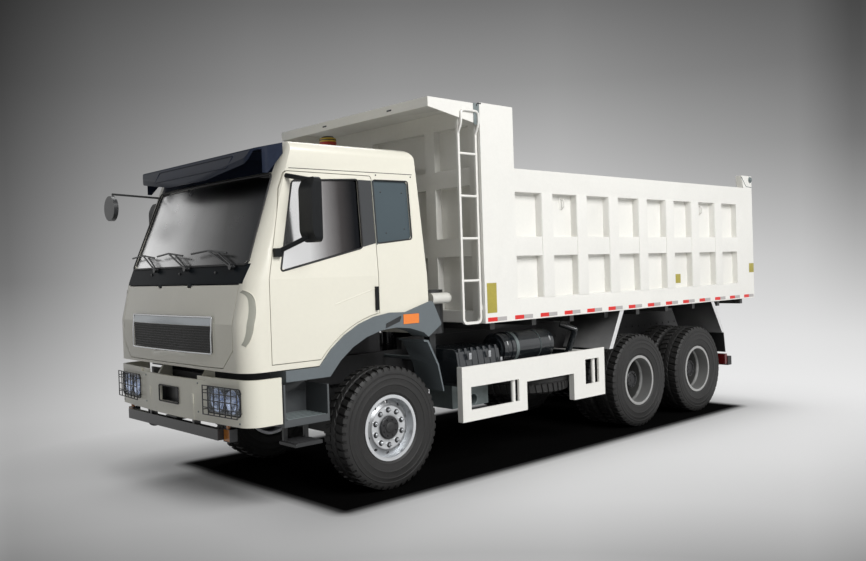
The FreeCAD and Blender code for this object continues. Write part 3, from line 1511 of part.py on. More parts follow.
def sun_visor():
    """The dark visor over the windscreen, open underneath."""
    front = size("visor_front_y")
    low = size("visor_low")
    top = size("visor_top")
    wall = size("visor_wall")
    half = size("visor_half_width")
    back = size("roof_front_y")
    shell = prism("VisorOutside", "YZ", [
        (front, low), (front + 75, top - 30, 40), (back, top + 30), (back, top - 60),
        (size("screen_head_y") - 25, low),
    ], "-visor_half_width", "2 * visor_half_width")
    hollow = prism("VisorHollow", "YZ", [
        (front + wall + 2, low - 5), (front + 75 + wall, top - 30 - wall, 30), (back - 30, top - 8),
        (back - 30, low - 5),
    ], "-visor_half_width + visor_wall", "2 * visor_half_width - 2 * visor_wall")
    plan = prism("VisorPlan", "XY", [
        (-half, front + 55, 160), (0, front, 6000), (half, front + 55, 160), (half, back + 40),
        (-half, back + 40),
    ], "visor_low - 20", "visor_top - visor_low + 90")
    keep_out = cab_form("VisorSeat", -size("seat_gap"))
    body = cut("VisorBody", common("VisorForm", [shell, plan]), [hollow, keep_out])
    node("sun_visor", body)


def screen_y(z, stand_off):
    """The leaning screen's distance along the truck at a height, plus a stand-off."""
    rake = (size("screen_head_y") - size("screen_foot_y")) / (size("screen_head_z") - size("belt_z"))
    return size("screen_foot_y") + rake * (z - size("belt_z")) - stand_off


def screen_bow(x):
    """How far the bowed screen falls back at a distance from its middle."""
    reach = size("cab_bow_radius") * math.tan(math.atan2(size("cab_bow"), size("cab_half_width")) / 2)
    drop = size("cab_bow") / size("cab_half_width")
    if abs(x) > reach:
        return drop * abs(x)
    return x * x / (2 * size("cab_bow_radius")) + drop * reach / 2


def wiper_bar(name, start, end, stand_off, radius):
    """A round bar before the screen between two (x, z) points."""
    ends = [(x, screen_y(z, stand_off) + screen_bow(x), z) for x, z in (start, end)]
    return pipe(name, ends, radius)


def wipers():
    """Three wipers, each a pivot, a pair of thin arms and a blade."""
    lift = size("wiper_lift")
    units = []
    for number, x in enumerate((size("wiper_right_x"), size("wiper_middle_x"), size("wiper_left_x"))):
        foot = size("wiper_z")
        name = "Wiper%d" % number
        y = screen_y(foot, 0) + screen_bow(x)
        pivot = rod(name + "Pivot", "Y", "22", "70", str(x), "%g - 45" % y, str(foot))
        peak = (x - size("wiper_reach"), foot + lift)
        near = (x - size("wiper_reach") * 0.62, foot + lift - 22)
        left = (x - size("wiper_reach") - size("wiper_blade") * 0.45, foot + lift - 20)
        right = (x - size("wiper_reach") + size("wiper_blade") * 0.55, foot + lift - 30)
        units.append(joined(name, [
            pivot, wiper_bar(name + "Arm", (x, foot), peak, 34, "wiper_radius"),
            wiper_bar(name + "Link", (x + 40, foot), near, 34, "wiper_radius"),
            wiper_bar(name + "Blade", left, peak, 34, "wiper_radius"),
            wiper_bar(name + "BladeEnd", peak, right, 34, "wiper_radius"),
        ]))
    rest = cab_form("WiperSeat", -size("seat_gap"))
    node("wipers", cut("Wipers", group("WiperUnits", units), [rest]))


def dashboard():
    """The dashboard across the cab with the steering wheel on its column."""
    top = size("dash_top")
    rear = size("dash_rear")
    dash = prism("DashSection", "YZ", [
        (size("dash_front"), 1640), (size("dash_front"), top - 40), (rear, top, 60),
        (rear - 20, 1640),
    ], "-cab_half_width", "2 * cab_half_width")
    room = cab_form("DashRoom", size("cab_wall") + size("seat_gap"))
    x = size("seat_x")
    column = pipe("Column", [(x, -1080, 1720), (x, -820, 1990)], "32")
    wheel = DOC.addObject("Part::Torus", "SteeringWheel")
    wheel.setExpression("Radius1", bound("steering_radius"))
    wheel.Radius2 = 16
    wheel.Placement.Rotation = FreeCAD.Rotation(AXES["X"], 40)
    lay(wheel, "seat_x", "-810", "2000")
    bar = rod("WheelBar", "X", "12", "2 * steering_radius", "seat_x - steering_radius", "-810", "2000")
    node("dashboard", joined("Dashboard", [common("Dash", [dash, room]), column, wheel, bar]))


def seats():
    """Two seats on pedestals."""
    seat = block("SeatCushion", ("seat_x - seat_width / 2", "seat_x + seat_width / 2"),
                 ("seat_front", "seat_front + seat_depth"), ("seat_z", "seat_z + seat_cushion"))
    back = block("SeatBack", ("seat_x - seat_width / 2 + 20", "seat_x + seat_width / 2 - 20"),
                 ("seat_front + seat_depth - 60", "seat_front + seat_depth + 60"),
                 ("seat_z + 40", "seat_z + seat_back_height"))
    base = block("SeatBase", ("seat_x - 140", "seat_x + 140"), ("seat_front + 80", "seat_front + 420"),
                 ("cab_low + 120", "seat_z + 5"))
    arch = rod("SeatArch", "X", "arch_radius + cab_wall + seat_gap", "600", "seat_x - 300", "0",
               "tyre_radius")
    pedestal = cut("SeatPedestal", base, [arch])
    node("seats", both_sides("Seats", joined("Seat", [seat, back, pedestal])))


def fender_points():
    """The fender's side outline: an arch that runs up to the cab's corner."""
    inner = size("fender_inner_radius")
    outer = size("fender_outer_radius")
    centre = size("tyre_radius")
    low = size("sill_low")
    top = size("sill_top")
    points = [(size("sill_front"), low), (size("sill_front"), top)]
    start = math.asin((top - centre) / outer)
    for step in range(7):
        angle = start + (math.radians(97) - start) * step / 6
        points.append((-outer * math.cos(angle), centre + outer * math.sin(angle)))
    points += [
        (size("fender_top_rear_y"), size("fender_top_rear_z"), 40),
        (size("fender_tip_y"), size("fender_tip_z"), 20), (size("fender_heel_y"), size("fender_heel_z")),
    ]
    end = math.asin((low - centre) / inner)
    begin = math.radians(180 - 68)
    for step in range(8):
        angle = begin + (end - begin) * step / 7
        points.append((-inner * math.cos(angle), centre + inner * math.sin(angle)))
    return points


def cab_fenders():
    """Grey fenders with the sill strip, hollow behind their faces."""
    outside = prism("FenderOutside", "YZ", fender_points(), "fender_inner_x",
                    "fender_face_x - fender_inner_x")
    seat = cab_form("FenderSeat", -size("seat_gap"))
    lamp = block("SideLampSeat", ("fender_face_x - 10", "fender_face_x + 10"),
                 ("side_lamp_front", "side_lamp_rear"), ("side_lamp_low", "side_lamp_top"))
    node("cab_fenders", both_sides("CabFenders", cut("CabFender", outside, [seat, lamp])))
    lens = block("SideLamp", ("fender_face_x - 10 + seat_gap", "fender_face_x + 4"),
                 ("side_lamp_front + seat_gap", "side_lamp_rear - seat_gap"),
                 ("side_lamp_low + seat_gap", "side_lamp_top - seat_gap"))
    node("side_lamps", both_sides("SideLamps", lens))


def round_mirror():
    """The round mirror on its arm at the cab's right front corner."""
    pillar = size("screen_half_high") + 30
    head = size("screen_head_z") - 40
    foot = (-pillar, screen_y(head, 0) + screen_bow(pillar) + 14, head)
    x = -size("round_mirror_x")
    y = size("round_mirror_y") + 40
    z = size("round_mirror_z")
    elbow = (x, y, z + size("round_mirror_radius") + 20)
    arm = pipe("RoundMirrorArm", [foot, elbow, (x, y, z)], "10")
    disc = rod("RoundMirror", "Y", "round_mirror_radius", "45", "-round_mirror_x", "round_mirror_y",
               "round_mirror_z")
    seat = cab_form("RoundMirrorSeat", -size("seat_gap"))
    node("round_mirror", cut("RoundMirrorUnit", joined("RoundMirrorParts", [arm, disc]), [seat]))


# Dump body


def body_side_profile():
    """The side's outline: tall at the headboard, with an ear over the rear post."""
    front = size("body_front")
    rear = size("body_rear")
    low = size("body_low")
    top = size("body_top")
    return [
        (front, low), (front, size("tall_top")), (size("tall_rear"), size("tall_top")),
        (size("tall_rear"), top), (size("ear_front") + 60, top), (size("ear_front") + 10, size("ear_top")),
        (rear, size("ear_top")), (rear, low),
    ]


def panel_pockets(name, low, top):
    """A row of recesses between the side's ribs."""
    pieces = []
    for number in range(int(size("panel_count"))):
        pieces.append(block("%s%d" % (name, number),
                            ("body_half_width - body_wall + sheet", "body_half_width + 10"),
                            ("panel_start + %d * panel_pitch" % number,
                             "panel_start + %d * panel_pitch + panel_width" % number), (low, top)))
    return pieces


def bed_sides():
    """Two ribbed side walls with the gate pins in their rear ears."""
    slab = prism("SideSlab", "YZ", body_side_profile(), "body_half_width - body_wall", "body_wall")
    pockets = panel_pockets("UpperPanel", "upper_panel_low", "upper_panel_top")
    pockets += panel_pockets("LowerPanel", "lower_panel_low", "lower_panel_top")
    eye = rod("EarEye", "X", "ear_eye_radius", "200", "body_half_width - body_wall - 50", "ear_eye_y",
              "ear_eye_z")
    side = cut("SideWall", slab, pockets + [eye])
    pin = rod("GatePin", "X", "gate_pin_radius", "body_wall + gate_arm_width + 6",
              "body_half_width - body_wall - gate_arm_width - 6", "gate_pin_y", "gate_pin_z")
    left = joined("SideWithPin", [side, pin])
    node("bed_side_left", left)
    node("bed_side_right", mirrored("SideRight", left))


def bed_floor():
    """The floor sheet on cross-bearers and two long bearers with the tipping lugs."""
    inner = "body_half_width - body_wall - seat_gap"
    floor = block("FloorSheet", ("-(%s)" % inner, inner),
                  ("body_front + body_wall + seat_gap", "body_rear - gate_thickness - 10"),
                  ("body_low", "body_low + floor_thickness"))
    long_bearer = block("LongBearer", ("bearer_half_width - bearer_width", "bearer_half_width"),
                        ("bearer_front", "body_rear - gate_thickness - 20"),
                        ("subframe_top + seat_gap", "body_low"))
    pieces = [floor, long_bearer, mirrored("LongBearerRight", long_bearer)]
    count = int(size("cross_bearer_count"))
    for number in range(count):
        share = number / (count - 1)
        place = "bearer_front + %.4f * (body_rear - bearer_front - 320) + 60" % share
        pieces.append(block("CrossBearer%d" % number, ("-(%s)" % inner, inner), (place, place + " + 70"),
                            ("body_low - 75", "body_low")))
    tip_y = size("tip_pivot_y")
    tip_z = size("tip_pivot_z")
    lug = size("tip_bracket_radius")
    hinge = prism("TipLug", "YZ", [
        (tip_y - lug, tip_z - lug, lug - 1), (tip_y - lug - 60, size("body_low") - 60),
        (tip_y + lug + 60, size("body_low") - 60), (tip_y + lug, tip_z - lug, lug - 1),
    ], "rail_half_width + 5", "24")
    bore = rod("TipLugBore", "X", "tip_pin_radius + seat_gap", "100", "rail_half_width - 20", "tip_pivot_y",
               "tip_pivot_z")
    pad = block("TipPad", ("bearer_half_width - 10", "rail_half_width + 29"),
                ("tip_pivot_y - 120", "tip_pivot_y + 120"), ("body_low - 130", "body_low - 40"))
    lugs = cut("TipLugBored", joined("TipLugPad", [hinge, pad]), [bore])
    pieces += [lugs, mirrored("TipLugRight", lugs)]
    node("bed_floor", joined("BedFloor", pieces))


def headboard():
    """The ribbed front wall with the hoist's top bracket."""
    inner = "body_half_width - body_wall - seat_gap"
    wall = block("HeadWall", ("-(%s)" % inner, inner), ("body_front", "body_front + body_wall"),
                 ("body_low", "canopy_top - canopy_wall - seat_gap"))
    pockets = []
    columns = (("-1080", "-580"), ("-430", "430"), ("580", "1080"))
    rows = (("1560", "2110"), ("2300", "2820"), ("3000", "3420"))
    for number, x in enumerate(columns):
        for row, z in enumerate(rows):
            pockets.append(block("HeadPanel%d%d" % (number, row), x,
                                 ("body_front - 10", "body_front + body_wall - sheet"), z))
    pin_y = size("hoist_y")
    pin_z = size("hoist_pin_z")
    plate = prism("HoistPlate", "YZ", [
        (pin_y - 55, pin_z - 55, 50), (pin_y - 55, pin_z + 55, 50), (size("body_front"), pin_z + 190),
        (size("body_front") + 30, pin_z + 190), (size("body_front") + 30, size("body_low") + 20),
        (size("body_front"), size("body_low") + 20),
    ], "hoist_radius + hoist_plate_gap", "hoist_plate")
    bore = rod("HoistPlateBore", "X", "hoist_pin_radius + seat_gap", "200", "hoist_radius - 20",
               "hoist_y", "hoist_pin_z")
    rib = block("HoistRib", ("hoist_radius + hoist_plate_gap - 20",
                             "hoist_radius + hoist_plate_gap + hoist_plate + 20"),
                ("body_front", "body_front + body_wall - sheet"), ("body_low", "body_low + 1400"))
    bracket = joined("HoistBracket", [cut("HoistPlateBored", plate, [bore]), rib])
    node("headboard", joined("Headboard", [cut("HeadWallCut", wall, pockets), bracket,
                                           mirrored("HoistBracketRight", bracket)]))


def canopy():
    """The sheet canopy over the cab with its lip and tapered side plates."""
    front = size("canopy_front")
    rear = size("body_front") - size("seat_gap")
    top = size("canopy_top")
    wall = size("canopy_wall")
    roof = block("CanopyRoof", ("-body_half_width + 8", "body_half_width - 8"),
                 ("canopy_front", "body_front + body_wall"), ("canopy_top - canopy_wall", "canopy_top"))
    lip = block("CanopyLip", ("-body_half_width + 8", "body_half_width - 8"),
                ("canopy_front", "canopy_front + canopy_wall"), ("canopy_top - canopy_lip", "canopy_top"))
    plate = prism("CanopyPlate", "YZ", [
        (front, top), (rear, top), (rear, top - size("canopy_drop")), (front, top - size("canopy_lip")),
    ], "body_half_width - 8 - canopy_wall", "canopy_wall")
    room = both("CanopyRoom", block("CanopySideRoom", ("body_half_width - body_wall - seat_gap",
                                                     "body_half_width + 10"),
                                    ("body_front - seat_gap", "body_front + body_wall + 10"),
                                    ("canopy_top - 100", "canopy_top + 20")))
    pieces = [roof, lip, plate, mirrored("CanopyPlateRight", plate)]
    node("canopy", cut("CanopyCut", joined("Canopy", pieces), [room]))


def ladder():
    """A rounded tube loop with rungs, on stand-offs from the headboard's left edge."""
    front = size("ladder_front")
    rear = size("ladder_rear")
    low = size("ladder_low")
    top = size("ladder_top")
    tube = size("ladder_tube")
    outer = prism("LadderOuter", "YZ", [
        (front - tube, low - tube, 60), (front - tube, top + tube, 60), (rear + tube, top + tube, 60),
        (rear + tube, low - tube, 60),
    ], "ladder_x - ladder_tube", "2 * ladder_tube")
    inner = prism("LadderInner", "YZ", [
        (front + tube, low + tube, 36), (front + tube, top - tube, 36), (rear - tube, top - tube, 36),
        (rear - tube, low + tube, 36),
    ], "ladder_x - ladder_tube - 10", "2 * ladder_tube + 20")
    pieces = [cut("LadderLoop", outer, [inner])]
    count = int(size("ladder_rungs"))
    for number in range(1, count + 1):
        share = number / (count + 1)
        pieces.append(rod("Rung%d" % number, "Y", "ladder_tube", "ladder_rear - ladder_front",
                          "ladder_x", "ladder_front",
                          "ladder_low + %.4f * (ladder_top - ladder_low)" % share))
    for number, z in enumerate(("ladder_low + 120", "ladder_top - 160")):
        pieces.append(block("LadderFoot%d" % number, ("ladder_x - ladder_tube", "ladder_x + ladder_tube"),
                            ("ladder_rear", "body_front - seat_gap"), (z, z + " + 50")))
    node("ladder", joined("Ladder", pieces))


def bed_mudguards():
    """Sloping plates under the body before and behind the rear wheels, and a flap."""
    wall = size("guard_wall")
    top = size("body_low") - size("seat_gap")
    low = size("guard_low_z")
    top_y = size("front_guard_top_y")
    low_y = size("front_guard_low_y")
    front = prism("FrontGuard", "YZ", [
        (low_y, low), (low_y + 70, low), (top_y + 40, top), (top_y - 40, top),
    ], "guard_outer_x - guard_wall", "guard_wall")
    sheet_front = prism("FrontGuardSheet", "YZ", [
        (low_y, low), (low_y + wall, low), (top_y - 40 + wall, top), (top_y - 40, top),
    ], "guard_inner_x", "guard_outer_x - guard_inner_x")
    rear_y = size("rear_guard_top_y")
    end_y = size("rear_guard_low_y")
    rear = prism("RearGuard", "YZ", [
        (rear_y - 60, top), (rear_y + 20, top), (end_y + 20, low), (end_y - 40, low),
    ], "guard_outer_x - guard_wall", "guard_wall")
    sheet_rear = prism("RearGuardSheet", "YZ", [
        (rear_y + 6, top), (rear_y + 20, top), (end_y + 20, low), (end_y + 6, low),
    ], "guard_inner_x", "guard_outer_x - guard_inner_x")
    flap = prism("MudFlap", "YZ", [
        (end_y + 6, low + 30), (end_y + 20, low + 30), (size("flap_end_y"), size("flap_end_z")),
        (size("flap_end_y") - 12, size("flap_end_z")),
    ], "guard_inner_x + 40", "guard_outer_x - guard_inner_x - 50")
    front_piece = joined("FrontGuardUnit", [front, sheet_front])
    rear_piece = joined("RearGuardUnit", [rear, sheet_rear, flap])
    node("bed_mudguards", group("BedMudguards", [front_piece, rear_piece,
                                                 mirrored("FrontGuardRight", front_piece),
                                                 mirrored("RearGuardRight", rear_piece)]))


def tailgate():
    """The ribbed gate that hangs from its top pins between the rear posts."""
    clear = "body_half_width - body_wall - 8"
    panel = block("GatePanel", ("-(%s)" % clear, clear), ("body_rear - gate_thickness", "body_rear"),
                  ("gate_low", "gate_top"))
    pockets = []
    for number, x in enumerate((("-1060", "-440"), ("-320", "320"), ("440", "1060"))):
        for row, z in enumerate((("gate_low + 110", "2130"), ("2250", "gate_top - 110"))):
            pockets.append(block("GatePocket%d%d" % (number, row), x,
                                 ("body_rear - gate_thickness + sheet", "body_rear + 10"), z))
    pin_y = size("gate_pin_y")
    pin_z = size("gate_pin_z")
    rear = size("body_rear")
    arm = prism("GateArm", "YZ", [
        (pin_y - 45, pin_z - 45, 44), (pin_y - 45, pin_z + 45, 44), (pin_y + 60, pin_z + 45, 30),
        (rear, pin_z - 60), (rear, size("gate_top") - 60), (rear - size("gate_thickness"), size("gate_top") - 60),
        (rear - size("gate_thickness"), pin_z - 100),
    ], "body_half_width - body_wall - gate_arm_width", "gate_arm_width - 8")
    bore = rod("GateBore", "X", "gate_pin_radius + seat_gap", "gate_arm_width + 40",
               "body_half_width - body_wall - gate_arm_width - 20", "gate_pin_y", "gate_pin_z")
    arms = cut("GateArmBored", arm, [bore])
    node("tailgate", joined("Tailgate", [cut("GateCut", panel, pockets), arms, mirrored("GateArmRight", arms)]))


# Hoist


def hoist_bore(stage):
    """A stage's outer radius; each one runs inside the wall of the one before."""
    return "hoist_radius - %d * (hoist_wall + seat_gap)" % stage


def hoist():
    """A cover hung on the headboard, with nested stages that slide down out of it."""
    low = "hoist_low"
    cover = rod("HoistCover", "Z", "hoist_radius", "hoist_length", "0", "hoist_y", low)
    bore = rod("HoistBore", "Z", "hoist_radius - hoist_wall", "hoist_length - 20", "0", "hoist_y",
               "hoist_low - 1")
    pin = "hoist_plate_gap + hoist_plate + 12"
    pins = []
    for side, x in (("Left", "hoist_radius - 4"), ("Right", "-hoist_radius + 4 - (%s)" % pin)):
        pins.append(rod("HoistPin" + side, "X", "hoist_pin_radius", pin, x, "hoist_y", "hoist_pin_z"))
    node("hoist_cover", joined("HoistCoverUnit", [cut("HoistCoverTube", cover, [bore])] + pins))
    stages = int(size("hoist_stages"))
    for number in range(1, stages + 1):
        start = "hoist_low - %d * 12" % number
        length = "hoist_length - 50"
        if number == stages:
            start = "hoist_z + hoist_eye_radius + 62"
            length = "hoist_low + hoist_length - 110 - (%s)" % start
        stage = rod("Stage%d" % number, "Z", hoist_bore(number), length, "0", "hoist_y", start)
        if number < stages:
            hole = rod("StageBore%d" % number, "Z", hoist_bore(number) + " - hoist_wall",
                       "hoist_length + 100", "0", "hoist_y", start + " - 10")
            piece = cut("StageTube%d" % number, stage, [hole])
        else:
            neck = rod("HoistNeck", "Z", "hoist_neck_radius", "hoist_eye_radius + 72", "0", "hoist_y",
                       "hoist_z")
            eye = rod("HoistEye", "X", "hoist_eye_radius", "2 * hoist_eye_half", "-hoist_eye_half",
                      "hoist_y", "hoist_z")
            piece = joined("HoistRod", [stage, neck, eye])
        node("hoist_stage_%d" % number, piece)


def check_and_export():
    """Stops on a failed object, then writes each sub-part's solids."""
    DOC.recompute()
    broken = [piece.Name for piece in DOC.Objects if "Invalid" in piece.State or "Error" in piece.State]
    if broken:
        raise SystemExit("failed objects: " + ", ".join(broken))
    os.makedirs("parts", exist_ok=True)
    for piece in NODES:
        shape = piece.Shape
        if shape.isNull() or not shape.isValid() or not shape.Solids:
            raise SystemExit("bad shape: " + piece.Label)
        shape.exportStep("parts/" + piece.Label + ".step")


wheels()
front_axle()
knuckle("Left")
knuckle("Right")
rear_axles()
frame()
engine()
bumper()
headlamps()
lamp_guards()
marker_lamps()
cab_steps()
front_mudguards()
side_guards()
battery_box()
air_tank()
fuel_tank()
silencer()
spare_wheel()
air_cleaner()
cab()
doors()
sun_visor()
wipers()
dashboard()
seats()
cab_fenders()
round_mirror()
bed_sides()
bed_floor()
headboard()
canopy()
ladder()
bed_mudguards()
tailgate()
hoist()
check_and_export()
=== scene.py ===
"""Looks for the dump truck: finishes, trim, tyre tread, seats, studio and camera."""
import json
import math

import bmesh
import bpy
from mathutils import Matrix, Vector
from mathutils.bvhtree import BVHTree

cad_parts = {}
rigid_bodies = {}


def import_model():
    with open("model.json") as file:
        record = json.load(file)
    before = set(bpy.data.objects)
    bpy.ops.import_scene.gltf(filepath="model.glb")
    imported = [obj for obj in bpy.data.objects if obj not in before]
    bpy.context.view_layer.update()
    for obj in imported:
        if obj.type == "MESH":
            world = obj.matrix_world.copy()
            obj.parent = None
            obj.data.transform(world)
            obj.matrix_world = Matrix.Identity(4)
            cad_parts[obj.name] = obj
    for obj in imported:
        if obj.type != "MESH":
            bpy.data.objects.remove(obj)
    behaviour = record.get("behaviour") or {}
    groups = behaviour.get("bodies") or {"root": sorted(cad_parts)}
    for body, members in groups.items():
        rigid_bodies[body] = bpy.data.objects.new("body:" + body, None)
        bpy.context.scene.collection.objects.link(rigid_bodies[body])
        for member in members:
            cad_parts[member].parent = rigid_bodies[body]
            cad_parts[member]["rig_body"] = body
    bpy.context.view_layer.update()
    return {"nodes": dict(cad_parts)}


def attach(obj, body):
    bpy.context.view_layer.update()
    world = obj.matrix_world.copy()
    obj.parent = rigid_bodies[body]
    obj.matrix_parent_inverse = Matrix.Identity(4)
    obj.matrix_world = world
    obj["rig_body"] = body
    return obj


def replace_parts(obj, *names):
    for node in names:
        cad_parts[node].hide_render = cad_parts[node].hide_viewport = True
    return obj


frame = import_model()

FRONT_AXLE_Y = -2.5775
TYRE_RADIUS = 0.562
RAY_START_Y = -6.0
RAY_START_X = 3.0
MERGE_GAP = 2e-5
REAR_AXLES = ((1, 3.9), (2, 5.25))
SIDES = (("left", 1), ("right", -1))
NODES = frame["nodes"]
X = Vector((1, 0, 0))
Y = Vector((0, 1, 0))
Z = Vector((0, 0, 1))


def at(x, y, z):
    """A point whose y is measured from the front axle."""
    return Vector((x, y + FRONT_AXLE_Y, z))


# Shader helpers


def grey(value):
    """A neutral colour."""
    return (value, value, value)


def toned(colour, factor):
    """A colour made darker or lighter."""
    return [min(channel * factor, 1.0) for channel in colour]


def feed(socket, value):
    """Give a socket a plain value, or a link from another socket."""
    if isinstance(value, bpy.types.NodeSocket):
        socket.id_data.links.new(value, socket)
    else:
        socket.default_value = value


def add_node(tree, kind, *values, **settings):
    """A shader node: values go to its first sockets, settings to properties or to sockets by name."""
    made = tree.nodes.new(kind)
    for name, value in settings.items():
        label = name.replace("_", " ")
        if label in made.inputs:
            feed(made.inputs[label], value)
        else:
            setattr(made, name, value)
    for socket, value in zip(made.inputs, values):
        feed(socket, value)
    return made


def calculated(operation, *values):
    """The result of a sum whose first value is a socket."""
    return add_node(values[0].id_data, "ShaderNodeMath", *values, operation=operation).outputs[0]


def product(first, second):
    """One socket's value times another's."""
    return calculated("MULTIPLY", first, second)


def scaled(source, factor, offset=0.0):
    """A value times a factor plus an offset."""
    return calculated("MULTIPLY_ADD", source, factor, offset)


def noise(place, scale, detail=3.0):
    """A noise value."""
    made = add_node(place.id_data, "ShaderNodeTexNoise", Vector=place, Scale=scale, Detail=detail)
    return made.outputs["Fac"]


def ramp(source, stops):
    """A colour that follows (place, colour) stops."""
    made = add_node(source.id_data, "ShaderNodeValToRGB", source)
    band = made.color_ramp
    while len(band.elements) < len(stops):
        band.elements.new(0.5)
    for element, (position, colour) in zip(band.elements, stops):
        element.position = position
        element.color = (*colour, 1.0)
    return made.outputs["Color"]


def shaded(source, stops):
    """A value that follows (place, value) stops."""
    return ramp(source, [(place, grey(value)) for place, value in stops])


def apart(vector):
    """A vector's X, Y and Z."""
    return add_node(vector.id_data, "ShaderNodeSeparateXYZ", vector).outputs


def new_material(name, **sockets):
    """A material with plain values on its shader, and the object's own coordinates."""
    material = bpy.data.materials.new(name)
    material.use_nodes = True
    shader = material.node_tree.nodes["Principled BSDF"]
    for socket, value in sockets.items():
        shader.inputs[socket.replace("_", " ")].default_value = value
    place = add_node(material.node_tree, "ShaderNodeTexCoord").outputs["Object"]
    return material, shader, place


def coloured(shader, colour):
    """A shader's base colour."""
    feed(shader.inputs["Base Color"], colour)


def roughened(shader, source, rough, spread):
    """Gloss that drifts round a mean with a noise value."""
    band = add_node(shader.id_data, "ShaderNodeMapRange", Value=source, To_Min=max(rough - spread, 0.02),
                    To_Max=min(rough + spread, 1.0))
    feed(shader.inputs["Roughness"], band.outputs["Result"])


def embossed(shader, height, strength, distance=0.002):
    """A relief on the shader's normal."""
    bumped = add_node(shader.id_data, "ShaderNodeBump", Height=height, Strength=strength, Distance=distance)
    feed(shader.inputs["Normal"], bumped.outputs["Normal"])


def surface(name, colour, rough, metal=0.0, coat=0.0, tint=0.06, grain=30.0, bump=0.05, bump_scale=300.0,
            rough_spread=0.08, gleam=0.5):
    """A surface with colour drift, uneven gloss and a fine relief."""
    material, shader, place = new_material(name, Metallic=metal, Coat_Weight=coat, Coat_Roughness=COAT_GLOSS,
                                           Specular_IOR_Level=gleam)
    mixed = scaled(noise(place, grain, 6.0), 0.4, scaled(noise(place, 2.0), 0.6))
    coloured(shader, ramp(mixed, [(0.35, toned(colour, 1 - tint)), (0.65, toned(colour, 1 + tint * 0.6))]))
    roughened(shader, mixed, rough, rough_spread)
    embossed(shader, noise(place, bump_scale, 2.0), bump)
    return material


def graded(name, terms, start, stops, rough, **sockets):
    """A finish whose colour runs along a direction of the object."""
    material, shader, place = new_material(name, **sockets)
    total = scaled(noise(place, 9.0), 0.02, start - 0.01)
    for axis, weight in terms:
        total = scaled(apart(place)[axis], weight, total)
    coloured(shader, ramp(total, stops))
    roughened(shader, noise(place, 4.0), rough, rough * 0.3)
    return material


def parted(name, axis, level, low, high, rough, metal=0.0):
    """A finish that changes colour at a level along an axis."""
    material, shader, place = new_material(name, Coat_Weight=0.3, Coat_Roughness=COAT_GLOSS, Metallic=metal)
    height = scaled(apart(place)[axis], 1.0, 0.5 - level)
    coloured(shader, ramp(height, [(0.499, low), (0.501, high)]))
    roughened(shader, noise(place, 30.0, 5.0), rough, 0.06)
    embossed(shader, noise(place, 90.0), 0.02)
    return material


def rim_finish(name, axle_y, inner, outer, edge, rings=()):
    """Rim colour that changes at a radius from its axle and darkens towards the centre; rings are (radius,
    share of the outer paint), bands of painted highlight and painted shade.
    """
    material, shader, place = new_material(name)
    parts = apart(place)
    flat = add_node(shader.id_data, "ShaderNodeCombineXYZ", Y=parts["Y"], Z=parts["Z"]).outputs[0]
    axle = (0.0, axle_y + FRONT_AXLE_Y, TYRE_RADIUS)
    away = add_node(shader.id_data, "ShaderNodeVectorMath", flat, axle, operation="DISTANCE").outputs["Value"]
    drift = noise(place, 25.0)
    radius = scaled(drift, 0.006, away)
    low, high = edge - 0.004, edge + 0.004
    stops = [(0.0, toned(inner, 0.6)), (low, inner), (high, outer)]
    coloured(shader, ramp(radius, stops + [(reach, toned(outer, share)) for reach, share in rings]))
    feed(shader.inputs["Metallic"], shaded(radius, [(low, 0.3), (high, 0.75)]))
    roughened(shader, drift, 0.36, 0.1)
    embossed(shader, noise(place, 180.0), 0.05)
    return material


def mudguard_finish():
    """White edges and top, inner sheets darkened by a mottled painted shade that deepens higher up, and black
    rubber low at the rear.
    """
    material, shader, place = new_material("mudguard_paint")
    parts = apart(place)
    facing = apart(place.node.outputs["Normal"])
    mottle = noise(place, 5.0, 5.0)
    # Faces that turn neither to the sides nor upwards take a painted shade, darkest high up under the body.
    lit_facing = calculated("MAXIMUM", calculated("ABSOLUTE", facing["X"]), facing["Z"])
    painted_shade = product(scaled(mottle, 0.6, 0.7), calculated("MAXIMUM", scaled(parts["Z"], -0.55, 0.79), 0.012))
    tone = calculated("MAXIMUM", painted_shade, shaded(lit_facing, [(0.5, 0.0), (0.62, 0.64)]))
    low = calculated("LESS_THAN", parts["Z"], MUDGUARD_FLAP_TOP)
    rear = calculated("GREATER_THAN", parts["Y"], MUDGUARD_FLAP_Y + FRONT_AXLE_Y)
    coloured(shader, product(tone, scaled(product(low, rear), -0.97, 1.0)))
    roughened(shader, mottle, 0.5, 0.15)
    embossed(shader, noise(place, 60.0), 0.06)
    return material


def woven(name, colour):
    """Seat cloth with a fine over-and-under weave."""
    material, shader, place = new_material(name, Sheen_Weight=0.35)
    waves = [calculated("SINE", scaled(apart(place)[axis], WEAVE_PER_M)) for axis in ("X", "Z")]
    drift = noise(place, 60.0, 5.0)
    coloured(shader, ramp(drift, [(0.3, toned(colour, 0.7)), (0.7, colour)]))
    roughened(shader, drift, 0.88, 0.08)
    embossed(shader, product(*waves), 0.35, 0.0008)
    return material


def fluted_lens():
    """Clear fluted lamp glass with a cold tint."""
    material, shader, place = new_material("lamp_lens", Roughness=0.05, Coat_Weight=0.6, Alpha=0.16)
    coloured(shader, ramp(noise(place, 20.0), [(0.3, (0.45, 0.52, 0.62)), (0.7, (0.75, 0.80, 0.86))]))
    embossed(shader, calculated("SINE", scaled(apart(place)["X"], FLUTES_PER_M)), 0.5)
    return material


# Finishes

